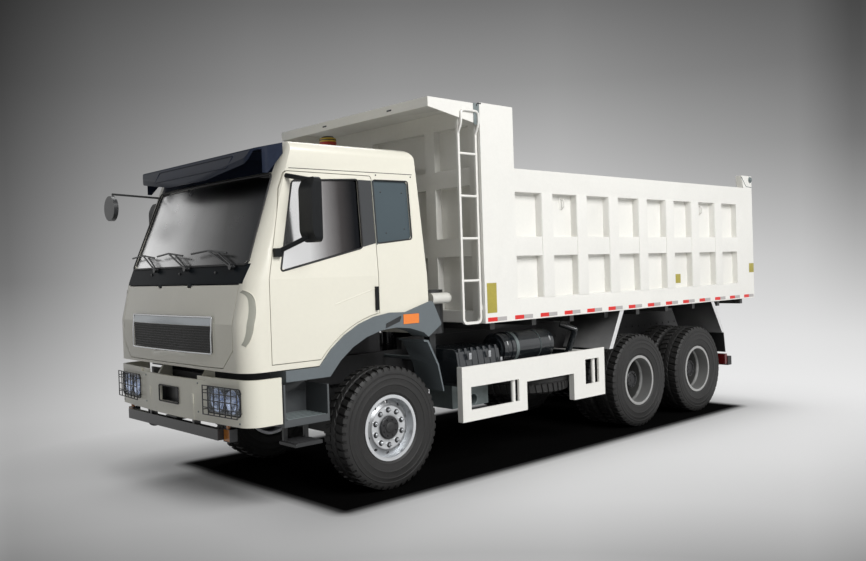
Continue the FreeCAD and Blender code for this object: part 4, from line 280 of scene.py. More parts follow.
COAT_GLOSS = 0.06
MUDGUARD_FLAP_Y = 5.5
MUDGUARD_FLAP_TOP = 0.99
WEAVE_PER_M = 2600.0
FLUTES_PER_M = 420.0
GLASS_DARK = (0.011, 0.012, 0.014)
BODY_WHITE = (0.81, 0.80, 0.755)
PLASTIC = (0.014, 0.015, 0.016)
RIM_BLACK = (0.036, 0.036, 0.034)
RIM_STEEL = (0.50, 0.50, 0.49)
# On the front rim the rings paint highlights and shade on the dish, and the dark middle within the hub radius
# is painted shade of a deep hub.
RIM_SHADE_AND_HIGHLIGHT_RINGS = ((0.14, 1.5), (0.194, 1.6), (0.204, 0.5), (0.222, 0.8), (0.262, 1.4), (0.29, 1.75))
FRONT_HUB_RADIUS = 0.112
REAR_DISH_RADIUS = 0.262
MATERIALS = {
    "cab": surface("cab_ivory", (0.775, 0.75, 0.645), 0.34, coat=0.3, tint=0.02, bump=0.015, bump_scale=60.0),
    "body": surface("body_white", BODY_WHITE, 0.40, coat=0.25, tint=0.03, bump=0.03, bump_scale=40.0),
    "slate": surface("slate_grey", (0.125, 0.145, 0.155), 0.45, bump=0.08),
    "quarter": surface("quarter_slate", (0.064, 0.086, 0.098), 0.40, grain=120.0, gleam=0.25),
    "chassis": surface("chassis_black", (0.018, 0.018, 0.019), 0.5, tint=0.3, bump=0.12),
    "rubber": surface("tyre_rubber", (0.018, 0.0175, 0.017), 0.58, tint=0.25, bump=0.25, bump_scale=500.0,
                      gleam=0.4),
    "steel": surface("bright_steel", (0.60, 0.61, 0.62), 0.26, metal=1.0, tint=0.08),
    "silver": surface("silver_plate", (0.34, 0.37, 0.39), 0.30, metal=0.5, coat=0.4, tint=0.04),
    "gloss_black": surface("gloss_black", (0.014, 0.017, 0.020), 0.20, coat=0.7, tint=0.1, bump=0.01),
    "matt_black": surface("matt_black", PLASTIC, 0.42, coat=0.15, tint=0.2, bump=0.12),
    "visor": surface("visor_navy", (0.016, 0.022, 0.040), 0.34, tint=0.2, bump=0.01, gleam=0.09),
    "seal": surface("rubber_seal", (0.010, 0.010, 0.011), 0.6, tint=0.2, bump=0.1),
    "amber": surface("amber_lens", (0.86, 0.23, 0.035), 0.25, coat=0.5, tint=0.12, grain=200.0),
    "tape_red": surface("tape_red", (0.70, 0.022, 0.018), 0.35, tint=0.08, grain=160.0),
    "tape_white": surface("tape_white", (0.44, 0.42, 0.41), 0.30, grain=160.0),
    "trim": surface("trim_grey", (0.10, 0.105, 0.11), 0.6, tint=0.1, bump=0.3, bump_scale=700.0),
    "olive": surface("olive_plate", (0.40, 0.34, 0.06), 0.4, tint=0.16, grain=70.0),
    "zinc": surface("zinc_grey", (0.20, 0.235, 0.235), 0.42, metal=0.4, tint=0.2, grain=18.0, bump=0.1),
    "yellow": surface("yellow_cap", (0.62, 0.42, 0.03), 0.4, tint=0.12),
    "red_band": surface("red_band", (0.40, 0.03, 0.015), 0.4, tint=0.12),
    "mesh": surface("grille_mesh", (0.020, 0.020, 0.018), 0.45, tint=0.2, bump=0.2, bump_scale=240.0),
    "mirror": surface("mirror_glass", (0.80, 0.82, 0.84), 0.04, metal=1.0, tint=0.02, bump=0.0,
                      rough_spread=0.02),
    "cloth": woven("seat_cloth", (0.050, 0.055, 0.065)),
    "mudguard": mudguard_finish(),
    "floor": parted("floor_paint", "Z", 1.428, (0.016, 0.016, 0.016), BODY_WHITE, 0.42),
    "steps": parted("step_paint", "Z", 0.72, (0.018, 0.019, 0.020), (0.060, 0.066, 0.070), 0.42),
    "cowl": surface("cowl_black", (0.010, 0.013, 0.016), 0.36, tint=0.1, bump=0.01, gleam=0.03),
    "mirror_black": surface("mirror_black", (0.010, 0.011, 0.012), 0.40, tint=0.15, bump=0.04, gleam=0.15),
    "rod": parted("hoist_rod", "Z", 1.46, (0.016, 0.016, 0.017), (0.55, 0.56, 0.57), 0.28, 0.85),
    # The reflectors' blue tint is a painted reflection of blue glints.
    "reflector": surface("lamp_reflector", (0.60, 0.70, 0.92), 0.14, metal=1.0, tint=0.04, bump=0.02),
    "shade": surface("corner_shade", (0.34, 0.34, 0.29), 0.45, tint=0.04, bump=0.02),
    "bumper": parted("bumper_ivory", "Z", 0.782, (0.015, 0.015, 0.016), (0.765, 0.745, 0.635), 0.30),
    "intake": parted("intake_paint", "X", 1.00, PLASTIC, (0.66, 0.65, 0.60), 0.42),
    "lens": fluted_lens(),
    # The front rim carries painted highlights, painted shade and a hub painted dark as if in shade.
    "front_rim": rim_finish("front_rim_alloy", 0.0, (0.030, 0.030, 0.032), (0.44, 0.45, 0.46),
                            FRONT_HUB_RADIUS, RIM_SHADE_AND_HIGHLIGHT_RINGS),
    # The windscreen's colour runs from pale low at one side to dark high at the other: a painted reflection.
    "screen": graded("screen_glass_painted_reflection", (("X", 0.42), ("Z", 0.16)), 0.12,
                     [(0.10, grey(0.93)), (0.34, grey(0.60)), (0.52, grey(0.24)), (0.74, grey(0.06)),
                      (0.92, GLASS_DARK)], 0.30, Metallic=0.95, Alpha=0.97),
    # The door windows' colour runs from pale at the front to dark at the back: a painted reflection.
    "side_glass_painted_reflection": graded("side_glass_painted_reflection", (("Y", 1.18),), (1.15 - FRONT_AXLE_Y) * 1.18,
                         [(0.0, grey(0.86)), (0.34, grey(0.74)), (0.56, (0.28, 0.27, 0.27)),
                          (0.74, (0.07, 0.065, 0.065)), (0.92, GLASS_DARK)], 0.16, Metallic=0.95, Alpha=0.97),
    "lamp_paint": graded("marker_lenses", (("Y", 1.0),), 0.5,
                         [(0.30, (0.46, 0.16, 0.02)), (0.5, (0.10, 0.005, 0.006))], 0.25, Coat_Weight=0.5),
}
for axle, y in REAR_AXLES:
    MATERIALS["rear_rim_%d" % axle] = rim_finish("rear_rim_steel_%d" % axle, y, RIM_BLACK, RIM_STEEL,
                                                 REAR_DISH_RADIUS)


# Mesh helpers


def finish_piece(name, mesh, body, material, smooth=35.0):
    """A piece that rides on a body."""
    piece = bpy.data.objects.new(name, mesh)
    bpy.context.scene.collection.objects.link(piece)
    mesh.materials.clear()
    mesh.materials.append(MATERIALS[material])
    for polygon in mesh.polygons:
        polygon.use_smooth = True
    mesh.set_sharp_from_angle(angle=math.radians(smooth))
    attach(piece, body)
    return piece


def mesh_from(name, build):
    """A mesh made by a function that fills a bmesh."""
    work = bmesh.new()
    build(work)
    bmesh.ops.recalc_face_normals(work, faces=work.faces)
    mesh = bpy.data.meshes.new(name)
    work.to_mesh(mesh)
    work.free()
    return mesh


def make(name, body, material, build, smooth=35.0):
    """A piece made by a function that fills a bmesh."""
    return finish_piece(name, mesh_from(name, build), body, material, smooth)


def verts_at(work, points):
    """New corners at points."""
    return [work.verts.new(point) for point in points]


def bridge(work, low, high):
    """Faces between two rings of as many points."""
    count = len(low)
    for index in range(count):
        following = (index + 1) % count
        work.faces.new((low[index], low[following], high[following], high[index]))


def skin(work, rings, closed=False):
    """Faces along a row of rings, which closes on itself or is capped at its ends."""
    for low, high in zip(rings, rings[1:] + (rings[:1] if closed else [])):
        bridge(work, low, high)
    if not closed:
        work.faces.new(rings[0][::-1])
        work.faces.new(rings[-1])


def add_box(work, low, high, bevel=0.0, basis=None):
    """A box between two corners of a basis, with its edges softened."""
    kept = set(work.verts)
    middle = (low + high) / 2
    made = bmesh.ops.create_cube(work, size=1.0)["verts"]
    for vert in made:
        vert.co = Vector(vert.co[i] * (high[i] - low[i]) + middle[i] for i in range(3))
    if bevel > 0:
        edges = list({edge for vert in made for edge in vert.link_edges})
        bmesh.ops.bevel(work, geom=edges, offset=bevel, segments=2, affect="EDGES", profile=0.7)
    if basis:
        for vert in [vert for vert in work.verts if vert not in kept]:
            vert.co = basis @ vert.co


def upright(place, across=X, inward=Y):
    """A basis across, up and inward at a place."""
    return Matrix.Translation(place) @ Matrix((across, Z, inward)).transposed().to_4x4()


def add_frame(work, basis, half, wall, depths, bevel=0.0):
    """Four boxes round an opening of a basis; half is its outer half width and height."""
    a, b = half
    near, far = depths
    for low, top in (((-a, -b), (-a + wall, b)), ((a - wall, -b), (a, b)),
                     ((-a, -b), (a, -b + wall)), ((-a, b - wall), (a, b))):
        add_box(work, Vector((*low, near)), Vector((*top, far)), bevel, basis)


def add_loop(work, basis, half, depth, radius, bend):
    """A bead round a rectangle of a basis."""
    a, b = half
    corners = [basis @ Vector((x, z, depth)) for x, z in ((-a, -b), (a, -b), (a, b), (-a, b))]
    add_tube(work, corners, radius, bend, closed=True)


def ring_of(centre, first, second, radius, count, turn=0.0):
    """Points on a circle spanned by two directions."""
    points = []
    for step in range(count):
        angle = 2 * math.pi * (step + turn) / count
        points.append(centre + first * (radius * math.cos(angle)) + second * (radius * math.sin(angle)))
    return points


def rounded_path(points, bend, closed=False, steps=5):
    """A polyline whose corners are rounded by bend."""
    if bend <= 0 or len(points) < 3:
        return points
    corners = list(zip(points, points[1:], points[2:]))
    if closed:
        corners = list(zip(points[-1:] + points[:-1], points, points[1:] + points[:1]))
    path = [] if closed else [points[0]]
    for before, corner, after in corners:
        back = before - corner
        ahead = after - corner
        reach = min(bend, back.length * 0.49, ahead.length * 0.49)
        start = corner + back.normalized() * reach
        end = corner + ahead.normalized() * reach
        for share in spread(0.0, 1.0, steps + 1):
            path.append(start.lerp(corner, share).lerp(corner.lerp(end, share), share))
    return path if closed else path + [points[-1]]


def add_tube(work, points, radius, bend=0.03, count=10, closed=False):
    """A round tube along a path."""
    path = rounded_path(points, bend, closed)
    total = len(path)
    rings = []
    side = None
    for index, point in enumerate(path):
        before = path[(index - 1) % total] if closed or index else point
        after = path[(index + 1) % total] if closed or index < total - 1 else point
        heading = (after - before).normalized()
        if side is None:
            side = heading.orthogonal().normalized()
        side = (side - heading * side.dot(heading)).normalized()
        rings.append(verts_at(work, ring_of(point, side, heading.cross(side), radius, count)))
    skin(work, rings, closed)


def add_rod(work, start, end, radius, count=16):
    """A straight rod between two points."""
    add_tube(work, [start, end], radius, 0, count)


def add_lathe(work, profile, centre, axis=X, count=48, closed=False):
    """A profile of (along the axis, radius) points turned about an axis."""
    first = Z if abs(axis.z) < 0.5 else axis.orthogonal().normalized()
    second = axis.cross(first)
    skin(work, [verts_at(work, ring_of(centre + axis * reach, first, second, radius, count))
                for reach, radius in profile], closed)


def add_nut(work, seat, axis, radius, height):
    """A hexagonal nut on a washer, with the stud's end showing."""
    washer = height * 0.16
    add_lathe(work, [(0, radius * 1.45), (washer, radius * 1.45)], seat, axis, 20)
    add_lathe(work, [(washer, radius * 1.06), (height * 0.85, radius * 1.06), (height, radius * 0.92)],
              seat, axis, 6)
    add_lathe(work, [(height, radius * 0.55), (height * 1.35, radius * 0.55), (height * 1.45, radius * 0.4)],
              seat, axis, 12)


def edge_of(grid):
    """The points round a grid's edge."""
    return grid[0] + [row[-1] for row in grid[1:-1]] + grid[-1][::-1] + [row[0] for row in grid[-2:0:-1]]


def add_panel(work, rows, back):
    """A curved plate: a grid of points and the same grid moved by back."""
    grids = [[verts_at(work, [point + shift for point in row]) for row in rows] for shift in (Vector(), back)]
    for grid in grids:
        for upper, lower in zip(grid, grid[1:]):
            for index in range(len(upper) - 1):
                work.faces.new((upper[index], upper[index + 1], lower[index + 1], lower[index]))
    bridge(work, *(edge_of(grid) for grid in grids))


def add_slab(work, outline, depth):
    """A flat plate: an outline of points pushed along depth."""
    near = verts_at(work, outline)
    far = verts_at(work, [point + depth for point in outline])
    work.faces.new(near)
    work.faces.new(far[::-1])
    bridge(work, near, far)


def bent(value, power):
    """A value drawn towards 1 or -1, which squares a circle up."""
    return math.copysign(abs(value) ** power, value)


def add_pillow(work, centre, half, power=0.42, around=40, up=22, channels=()):
    """A crowned cushion with rounded edges; channels are (x, width, depth) sewn lines over its top."""
    rings = []
    for level in range(1, up):
        tilt = math.pi * (level / up - 0.5)
        flat = bent(math.cos(tilt), power)
        ring = []
        for step in range(around):
            turn = 2 * math.pi * step / around
            point = Vector((half.x * flat * bent(math.cos(turn), power),
                            half.y * flat * bent(math.sin(turn), power),
                            half.z * bent(math.sin(tilt), power)))
            for place, width, depth in channels:
                dip = max(0.0, 1 - abs(point.x - place) / width)
                point.z -= depth * dip * dip if point.z > 0 else 0.0
            ring.append(centre + point)
        rings.append(verts_at(work, ring))
    skin(work, rings)


def soften(node, width, material):
    """A CAD node with softened edges, which stands for it."""
    source = NODES[node]
    work = bmesh.new()
    work.from_mesh(source.data)
    bmesh.ops.remove_doubles(work, verts=work.verts, dist=MERGE_GAP)
    bmesh.ops.dissolve_limit(work, angle_limit=math.radians(0.5), verts=work.verts, edges=work.edges)
    mesh = bpy.data.meshes.new(node + "_skin")
    work.to_mesh(mesh)
    work.free()
    piece = finish_piece(node + "_skin", mesh, source["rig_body"], material)
    bevel = piece.modifiers.new("edges", "BEVEL")
    bevel.width = width
    bevel.segments = 2
    bevel.limit_method = "ANGLE"
    bevel.angle_limit = math.radians(32)
    bevel.use_clamp_overlap = True
    bevel.harden_normals = True
    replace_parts(piece, node)


def paint_node(node, material):
    """A CAD node shown as it is, with a finish of its own."""
    mesh = NODES[node].data
    mesh.materials.clear()
    mesh.materials.append(MATERIALS[material])


def tree_of(*nodes):
    """A search tree over the faces of CAD nodes."""
    corners = []
    faces = []
    for node in nodes:
        mesh = NODES[node].data
        start = len(corners)
        corners.extend(vert.co.copy() for vert in mesh.vertices)
        faces.extend([start + index for index in polygon.vertices] for polygon in mesh.polygons)
    return BVHTree.FromPolygons(corners, faces)


CAB = tree_of("cab_shell", "front_flap", "cowl", "door_left", "door_right")
SCREEN_EDGE = tree_of("cab_shell", "cowl")
WINDOWS = tree_of("cab_glass")
BED = tree_of("bed_side_left", "bed_side_right")


def on_front(x, z, lift=0.0, tree=CAB):
    """The front face at a place, raised by lift."""
    found = tree.ray_cast(Vector((x, RAY_START_Y, z)), Y)
    assert found[0], ("no face in front of", x, z)
    return found[0] + found[1] * lift


def on_side(y, z, sign=1, lift=0.0, tree=CAB):
    """A side face at a place whose y is measured from the front axle, raised by lift."""
    found = tree.ray_cast(at(RAY_START_X * sign, y, z), X * -sign)
    assert found[0], ("no face beside", y, z)
    return found[0] + found[1] * lift


def front_grid(half, levels, lift):
    """Rows of points on the cab's front face."""
    return [[on_front(x, z, lift) for x in spread(-half, half, 25)] for z in levels]


def spread(start, end, count):
    """Values from start to end."""
    return [start + (end - start) * step / (count - 1) for step in range(count)]


def along(corners, place, step):
    """Points of a path through (a, b) corners, each put in place by a function."""
    path = []
    for (a0, b0), (a1, b1) in zip(corners, corners[1:]):
        count = max(2, int(math.hypot(a1 - a0, b1 - b0) / step) + 1)
        path += [place(a, b) for a, b in zip(spread(a0, a1, count), spread(b0, b1, count))][:-1]
    return path + [place(*corners[-1])]


def add_bead(work, corners, place, radius, bend, step=0.10):
    """A bead round a closed outline of (a, b) corners on a surface."""
    add_tube(work, along(corners + corners[:1], place, step)[:-1], radius, bend, closed=True)


def rounded_pairs(pairs):
    """Flat pairs with their corners rounded."""
    return [(point.x, point.y) for point in rounded_path([Vector((a, b, 0)) for a, b in pairs], 0.1)]


# Tyres and wheels

TREAD_PITCHES = 46
TREAD_DEPTH = 0.014
TREAD_SHARES = (0.0, 0.60, 0.66, 0.94)
CUT_SHARES = {"lug": 1.0, "lug_low": 0.9, "centre": 0.55}
TYRE_SECTION = [(reach, radius, kind) for kind, points in (
    ("centre", ((0.000, 0.5600), (0.026, 0.5600))),
    ("groove", ((0.030, 0.5598), (0.042, 0.5596))),
    ("lug", ((0.046, 0.5594), (0.090, 0.5585), (0.132, 0.5560))),
    ("lug_low", ((0.143, 0.5400),)),
    ("side", ((0.1495, 0.5230), (0.1530, 0.4970), (0.1570, 0.4940), (0.1572, 0.4880), (0.1545, 0.4850),
              (0.1555, 0.4600), (0.1572, 0.4560), (0.1572, 0.4500), (0.1545, 0.4470), (0.1520, 0.4000),
              (0.1535, 0.3960), (0.1525, 0.3900), (0.1490, 0.3860), (0.1440, 0.3500), (0.1400, 0.3300),
              (0.1402, 0.3240), (0.1340, 0.3150), (0.1250, 0.3000), (0.1190, 0.2870))),
) for reach, radius in points]
FRONT_TYRE_X = 1.003
TWIN_X = (0.878 - 0.175, 0.878 + 0.175)
SPARE = at(0.620, 2.340, 0.755)
NUTS = 10
NUT_CIRCLE = 0.167
FRONT_NUT_CIRCLE = 0.160
FRONT_FACE_X = 1.099
FRONT_CAP_X = 1.121
REAR_FACE_X = 0.892
REAR_FLANGE_X = 1.028
VALVE_X = 0.93
VALVE_CIRCLE = 0.232
TYRE_SMOOTH = 25
HUB_SMOOTH = 30


def tread_drop(kind, column, far_half):
    """How far a point of the tread lies below the crown."""
    if kind == "groove":
        return TREAD_DEPTH
    if column % 4 < 2 or (kind == "centre" and not far_half):
        return 0.0
    return TREAD_DEPTH * CUT_SHARES.get(kind, 0.0)


def add_tyre(work, centre, axis=X):
    """A tyre with staggered shoulder lugs."""
    first, second = (Y, Z) if axis == X else (X, Y)
    section = [(-reach, radius, kind, 0) for reach, radius, kind in reversed(TYRE_SECTION)]
    section += [(*point, 1) for point in TYRE_SECTION[1:]]
    rings = []
    for reach, radius, kind, far_half in section:
        lean = 0.35 if kind == "side" else 0.35 * abs(reach) / 0.13
        ring = []
        for column in range(TREAD_PITCHES * 4):
            turn = (column // 4 + TREAD_SHARES[column % 4] + 0.5 * far_half + lean) / TREAD_PITCHES
            angle = 2 * math.pi * turn
            depth = radius - tread_drop(kind, column, far_half)
            ring.append(centre + axis * reach + first * (depth * math.cos(angle))
                        + second * (depth * math.sin(angle)))
        rings.append(verts_at(work, ring))
    skin(work, rings, closed=True)


def make_tyre(name, body, places, stands_for, axis=X):
    """Treaded tyres that stand for the plain ones of a CAD node."""
    def tyres(work):
        for place in places:
            add_tyre(work, place, axis)
    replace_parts(make(name, body, "rubber", tyres, TYRE_SMOOTH), stands_for)


def make_tyres():
    """The tyres of the wheels, and the spare flat on its carrier."""
    for side, sign in SIDES:
        make_tyre("tyre_front_" + side, "front_wheel_" + side, [at(sign * FRONT_TYRE_X, 0, TYRE_RADIUS)],
                  "front_tyre_" + side)
        for axle, y in REAR_AXLES:
            label = "%d_%s" % (axle, side)
            make_tyre("tyres_rear_" + label, "rear_wheels_" + label,
                      [at(sign * x, y, TYRE_RADIUS) for x in TWIN_X], "rear_tyres_" + label)
    make_tyre("spare_tyre", "chassis", [SPARE], "spare_wheel", Z)


def make_spare_rim():
    """The spare's rim with its clamp."""
    def carrier(work):
        add_lathe(work, [(-0.133, 0.30), (-0.125, 0.30), (-0.11, 0.27), (0.11, 0.27), (0.125, 0.30),
                         (0.133, 0.30), (0.12, 0.255), (0.02, 0.25), (0.02, 0.10), (0.0, 0.10), (0.0, 0.25),
                         (-0.12, 0.255)], SPARE, Z, closed=True)
        add_rod(work, SPARE + Z * 0.005, SPARE + Z * 0.17, 0.030)
        add_box(work, at(0.43, 2.30, 0.925), at(0.68, 2.38, 0.965), 0.004)
    make("spare_rim", "chassis", "chassis", carrier)


def nut_ring(work, centre, axis, circle, radius, height, count=NUTS):
    """A ring of nuts round an axle."""
    for place in ring_of(centre, Y, Z, circle, count, 0.5):
        add_nut(work, place, axis, radius, height)


def make_front_hub(side, sign):
    """A front wheel's nuts in their dark seats, and its bolted cap."""
    axis = X * sign
    body = "front_wheel_" + side
    face = at(sign * FRONT_FACE_X, 0, TYRE_RADIUS)
    cap_seat = at(sign * FRONT_CAP_X, 0, TYRE_RADIUS)

    def seats(work):
        for place in ring_of(face, Y, Z, FRONT_NUT_CIRCLE, NUTS, 0.5):
            add_lathe(work, [(0, 0.026), (0.003, 0.026), (0.006, 0.022)], place, axis, 20)

    def cap(work):
        add_lathe(work, [(-0.004, 0.050), (0.004, 0.050), (0.009, 0.038), (0.010, 0.012)], cap_seat, axis)
        nut_ring(work, cap_seat, axis, 0.076, 0.007, 0.008, 8)
    make("nuts_front_" + side, body, "steel",
         lambda work: nut_ring(work, face, axis, FRONT_NUT_CIRCLE, 0.0145, 0.028), HUB_SMOOTH)
    make("nut_seats_front_" + side, body, "seal", seats, HUB_SMOOTH)
    make("hub_cap_front_" + side, body, "chassis", cap, HUB_SMOOTH)


def make_rear_hub(label, y, sign):
    """A rear wheel's nuts, its dished hub and the valve's long stem."""
    axis = X * sign
    body = "rear_wheels_" + label
    flange = at(sign * REAR_FLANGE_X, y, TYRE_RADIUS)
    outward = Y * -0.6 + Z * -0.8

    def dish(work):
        nut_ring(work, at(sign * REAR_FACE_X, y, TYRE_RADIUS), axis, NUT_CIRCLE, 0.0165, 0.028)
        add_lathe(work, [(-0.004, 0.102), (0.046, 0.102), (0.054, 0.094), (0.054, 0.074), (0.040, 0.068),
                         (0.040, 0.030), (0.046, 0.026)], flange, axis)
        nut_ring(work, flange + axis * 0.054, axis, 0.084, 0.0065, 0.008)

    def valve(work):
        foot = at(sign * VALVE_X, y, TYRE_RADIUS) + outward * VALVE_CIRCLE
        add_tube(work, [foot, foot + axis * 0.06, foot + axis * 0.13 + outward * 0.02], 0.0055)
    make("hub_rear_" + label, body, "chassis", dish, HUB_SMOOTH)
    make("valve_rear_" + label, body, "steel", valve)


def make_hubs():
    """What is fitted to each wheel."""
    for side, sign in SIDES:
        make_front_hub(side, sign)
        for axle, y in REAR_AXLES:
            make_rear_hub("%d_%s" % (axle, side), y, sign)


# Cab front

GRILLE_HALF = 0.750
GRILLE_LOW = 1.356
GRILLE_TOP = 1.652
MESH_HALF = 0.744
MESH_TOP = 1.580
SEAL_TOP = 2.824
SEAL_HALF_LOW = 1.083
SEAL_HALF_TOP = 1.030
JET_XS = (-0.55, 0.05, 0.65)
CORNER_ARC = ((1.105, 1.874), (1.140, 1.864), (1.174, 1.842), (1.192, 1.80), (1.204, 1.72), (1.206, 1.65),
              (1.203, 1.56), (1.195, 1.50), (1.183, 1.455), (1.165, 1.425))
CORNER_MIDDLE = 1.645


def make_grille():
    """The grille's silver frame, pale top bar and dark slatted mesh."""
    def border(work):
        corners = [(-GRILLE_HALF, GRILLE_LOW), (GRILLE_HALF, GRILLE_LOW),
                   (GRILLE_HALF, GRILLE_TOP), (-GRILLE_HALF, GRILLE_TOP)]
        add_bead(work, corners, lambda x, z: on_front(x, z, 0.019), 0.0065, 0.012)

    def slats(work):
        add_panel(work, front_grid(MESH_HALF, (1.362, MESH_TOP), 0.004), Y * 0.003)
        for z in spread(1.374, 1.570, 10):
            add_tube(work, [on_front(x, z, 0.010) for x in spread(-0.740, 0.740, 13)], 0.0032, 0, 6)
        for x in spread(-0.735, 0.735, 50):
            add_tube(work, [on_front(x, z, 0.0085) for z in (1.365, 1.577)], 0.0018, 0, 5)
    make("grille_frame", "front_flap", "steel", border)
    make("grille_bar", "front_flap", "silver",
         lambda work: add_panel(work, front_grid(0.742, (1.585, 1.612, 1.644), 0.015), Y * 0.012))
    make("grille_mesh", "front_flap", "mesh", slats)


def make_screen_trim():
    """The screen's seal and gasket, the dark band over it and the washer jets."""
    def seal(work):
        corners = [(-SEAL_HALF_LOW, 2.100), (-SEAL_HALF_TOP, SEAL_TOP), (SEAL_HALF_TOP, SEAL_TOP),
                   (SEAL_HALF_LOW, 2.100)]
        points = along(corners, lambda x, z: on_front(x, z, 0.002, SCREEN_EDGE), 0.12)
        low = [on_front(x, 2.078, 0.003, SCREEN_EDGE) for x in spread(1.06, -1.06, 19)]
        add_tube(work, points + low, 0.010, 0.05, closed=True)

    def gasket(work):
        half = [Vector((x, on_front(edge, z, 0, SCREEN_EDGE).y + 0.026, z))
                for edge, x, z in ((SEAL_HALF_LOW, 1.066, 2.100), (SEAL_HALF_TOP, 1.016, 2.806))]
        add_tube(work, half + [Vector((-point.x, point.y, point.z)) for point in half[::-1]], 0.022, 0.05)

    def jets(work):
        for x in JET_XS:
            add_lathe(work, [(0.0, 0.012), (0.008, 0.012), (0.012, 0.006)], on_front(x, 2.020), -Y, 14)
    make("screen_seal", "cab", "seal", seal)
    make("screen_gasket", "cab", "seal", gasket)
    make("cowl_jets", "cab", "matt_black", jets)
    make("screen_header", "cab", "visor",
         lambda work: add_panel(work, front_grid(1.02, (2.838, 2.875, 2.925, 2.985), 0.003), Y * 0.002))


def make_corner_trim():
    """The curved mouldings at the cab's front corners, each with a grey sheet of painted shade in its groove.
    """
    arc = rounded_pairs(CORNER_ARC)
    for side, sign in SIDES:
        # A grey sheet laid in the groove is painted shade.
        def groove(work):
            rows = [[on_front(sign * (x - 0.032 * share),
                              CORNER_MIDDLE + (z - CORNER_MIDDLE) * (1 - 0.08 * share), 0.0012)
                     for x, z in arc] for share in spread(0.0, 1.0, 6)]
            add_panel(work, rows, Y * 0.002)

        def lip(work):
            add_tube(work, [on_front(sign * (x + 0.001), z, 0.001) for x, z in arc], 0.0045, 0, 8)
        make("corner_groove_shade_" + side, "cab", "shade", groove)
        make("corner_lip_" + side, "cab", "cab", lip)


LAMP_X = (0.655, 1.115)
LAMP_Z = (0.876, 1.082)
LAMP_HALF = ((LAMP_X[1] - LAMP_X[0]) / 2 - 0.002, (LAMP_Z[1] - LAMP_Z[0]) / 2 - 0.002)
BUMPER_Y = -1.600
BUMPER_SLOPE = 0.090 / 1.230
REFLECTOR = [(0.050, 0.012), (0.044, 0.034), (0.030, 0.064), (0.008, 0.090), (0.008, 0.096), (0.034, 0.070),
             (0.050, 0.040), (0.055, 0.012)]
REFLECTOR_X = 0.108
TOW_BASIS = upright(at(0, 0, 0.9675))
FOG_LAMP_X = 0.915
FOG_LAMP_Z = 0.705
FOG_HALF = 0.053
BOLTS = ((1.10, 0.815), (-1.10, 0.815), (0.50, 0.86), (-0.50, 0.86), (-0.50, 1.10), (0.50, 1.10))
VISOR_BORDER = [(-0.66, 2.895), (0.70, 2.895), (0.76, 2.990), (-0.62, 2.990)]


def lamp_basis(sign):
    """Axes along the bumper's face, up, and into it, with their origin at a lamp's middle."""
    lean = math.atan(BUMPER_SLOPE)
    across = Vector((math.cos(lean), sign * math.sin(lean), 0))
    inward = Vector((-sign * math.sin(lean), math.cos(lean), 0))
    middle = sum(LAMP_X) / 2
    origin = at(sign * middle, BUMPER_Y + BUMPER_SLOPE * middle, sum(LAMP_Z) / 2)
    return upright(origin, across, inward), inward


LAMPS = [lamp_basis(sign) for _, sign in SIDES]


def make_headlamps():
    """Lamp housings with two reflectors each behind a fluted lens."""
    wide, high = LAMP_HALF

    def housings(work):
        for basis, _ in LAMPS:
            add_frame(work, basis, LAMP_HALF, 0.006, (0.004, 0.054), 0.001)

    def backs(work):
        for basis, _ in LAMPS:
            add_box(work, Vector((-wide, -high, 0.052)), Vector((wide, high, 0.058)), 0.002, basis)

    def reflectors(work):
        for basis, inward in LAMPS:
            for across in (-REFLECTOR_X, REFLECTOR_X):
                centre = basis @ Vector((across, 0, 0))
                add_lathe(work, REFLECTOR, centre, inward, 40, closed=True)
                add_lathe(work, [(0.018, 0.006), (0.022, 0.011), (0.050, 0.011)], centre, inward, 14)

    def lenses(work):
        for basis, _ in LAMPS:
            rows = [[basis @ Vector((a, b, -0.004 * (1 - (a / wide) ** 2))) for a in spread(-wide, wide, 9)]
                    for b in spread(-high, high, 5)]
            add_panel(work, rows, Y * 0.004)
    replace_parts(make("lamp_housings", "chassis", "silver", housings), "headlamps")
    make("lamp_backs", "chassis", "trim", backs)
    make("lamp_reflectors", "chassis", "reflector", reflectors)
    make("lamp_lenses", "chassis", "lens", lenses)


def make_bumper_trim():
    """Lamp surrounds, the tow recess's lining, bolts, fog lamp frames and the bent bar at the right."""
    bumper = tree_of("bumper")

    def surrounds(work):
        for basis, _ in LAMPS:
            add_loop(work, basis, (0.236, 0.109), -0.002, 0.005, 0.03)
        add_loop(work, TOW_BASIS, (0.184, 0.0705), -1.587, 0.006, 0.012)

    def lining(work):
        add_box(work, at(-0.178, -1.515, 0.902), at(0.178, -1.510, 1.033))
        add_frame(work, TOW_BASIS, (0.180, 0.0675), 0.004, (-1.560, -1.510))

    def bolts(work):
        for x, z in BOLTS:
            place, facing, *_ = bumper.ray_cast(Vector((x, RAY_START_Y, z)), Y)
            add_lathe(work, [(0.0, 0.008), (0.003, 0.008), (0.005, 0.004)], place, facing, 12)

    def bar(work):
        add_tube(work, [at(-0.60, -1.50, 0.80), at(-0.60, -1.50, 0.625), at(-0.56, -1.47, 0.612),
                        at(-0.36, -1.40, 0.68)], 0.010, 0.04)

    def fog_frames(work):
        for _, sign in SIDES:
            basis = upright(at(sign * FOG_LAMP_X, 0, FOG_LAMP_Z))
            add_frame(work, basis, (FOG_HALF, FOG_HALF), 0.0055, (-1.540, -1.476), 0.002)
            add_box(work, Vector((-FOG_HALF, -FOG_HALF, -1.478)), Vector((FOG_HALF, FOG_HALF, -1.470)), 0.002,
                    basis)
    make("bumper_surrounds", "chassis", "seal", surrounds)
    make("tow_lining", "chassis", "matt_black", lining)
    make("bumper_bolts", "chassis", "zinc", bolts)
    make("bumper_bar", "chassis", "matt_black", bar)
    make("fog_frames", "chassis", "matt_black", fog_frames)


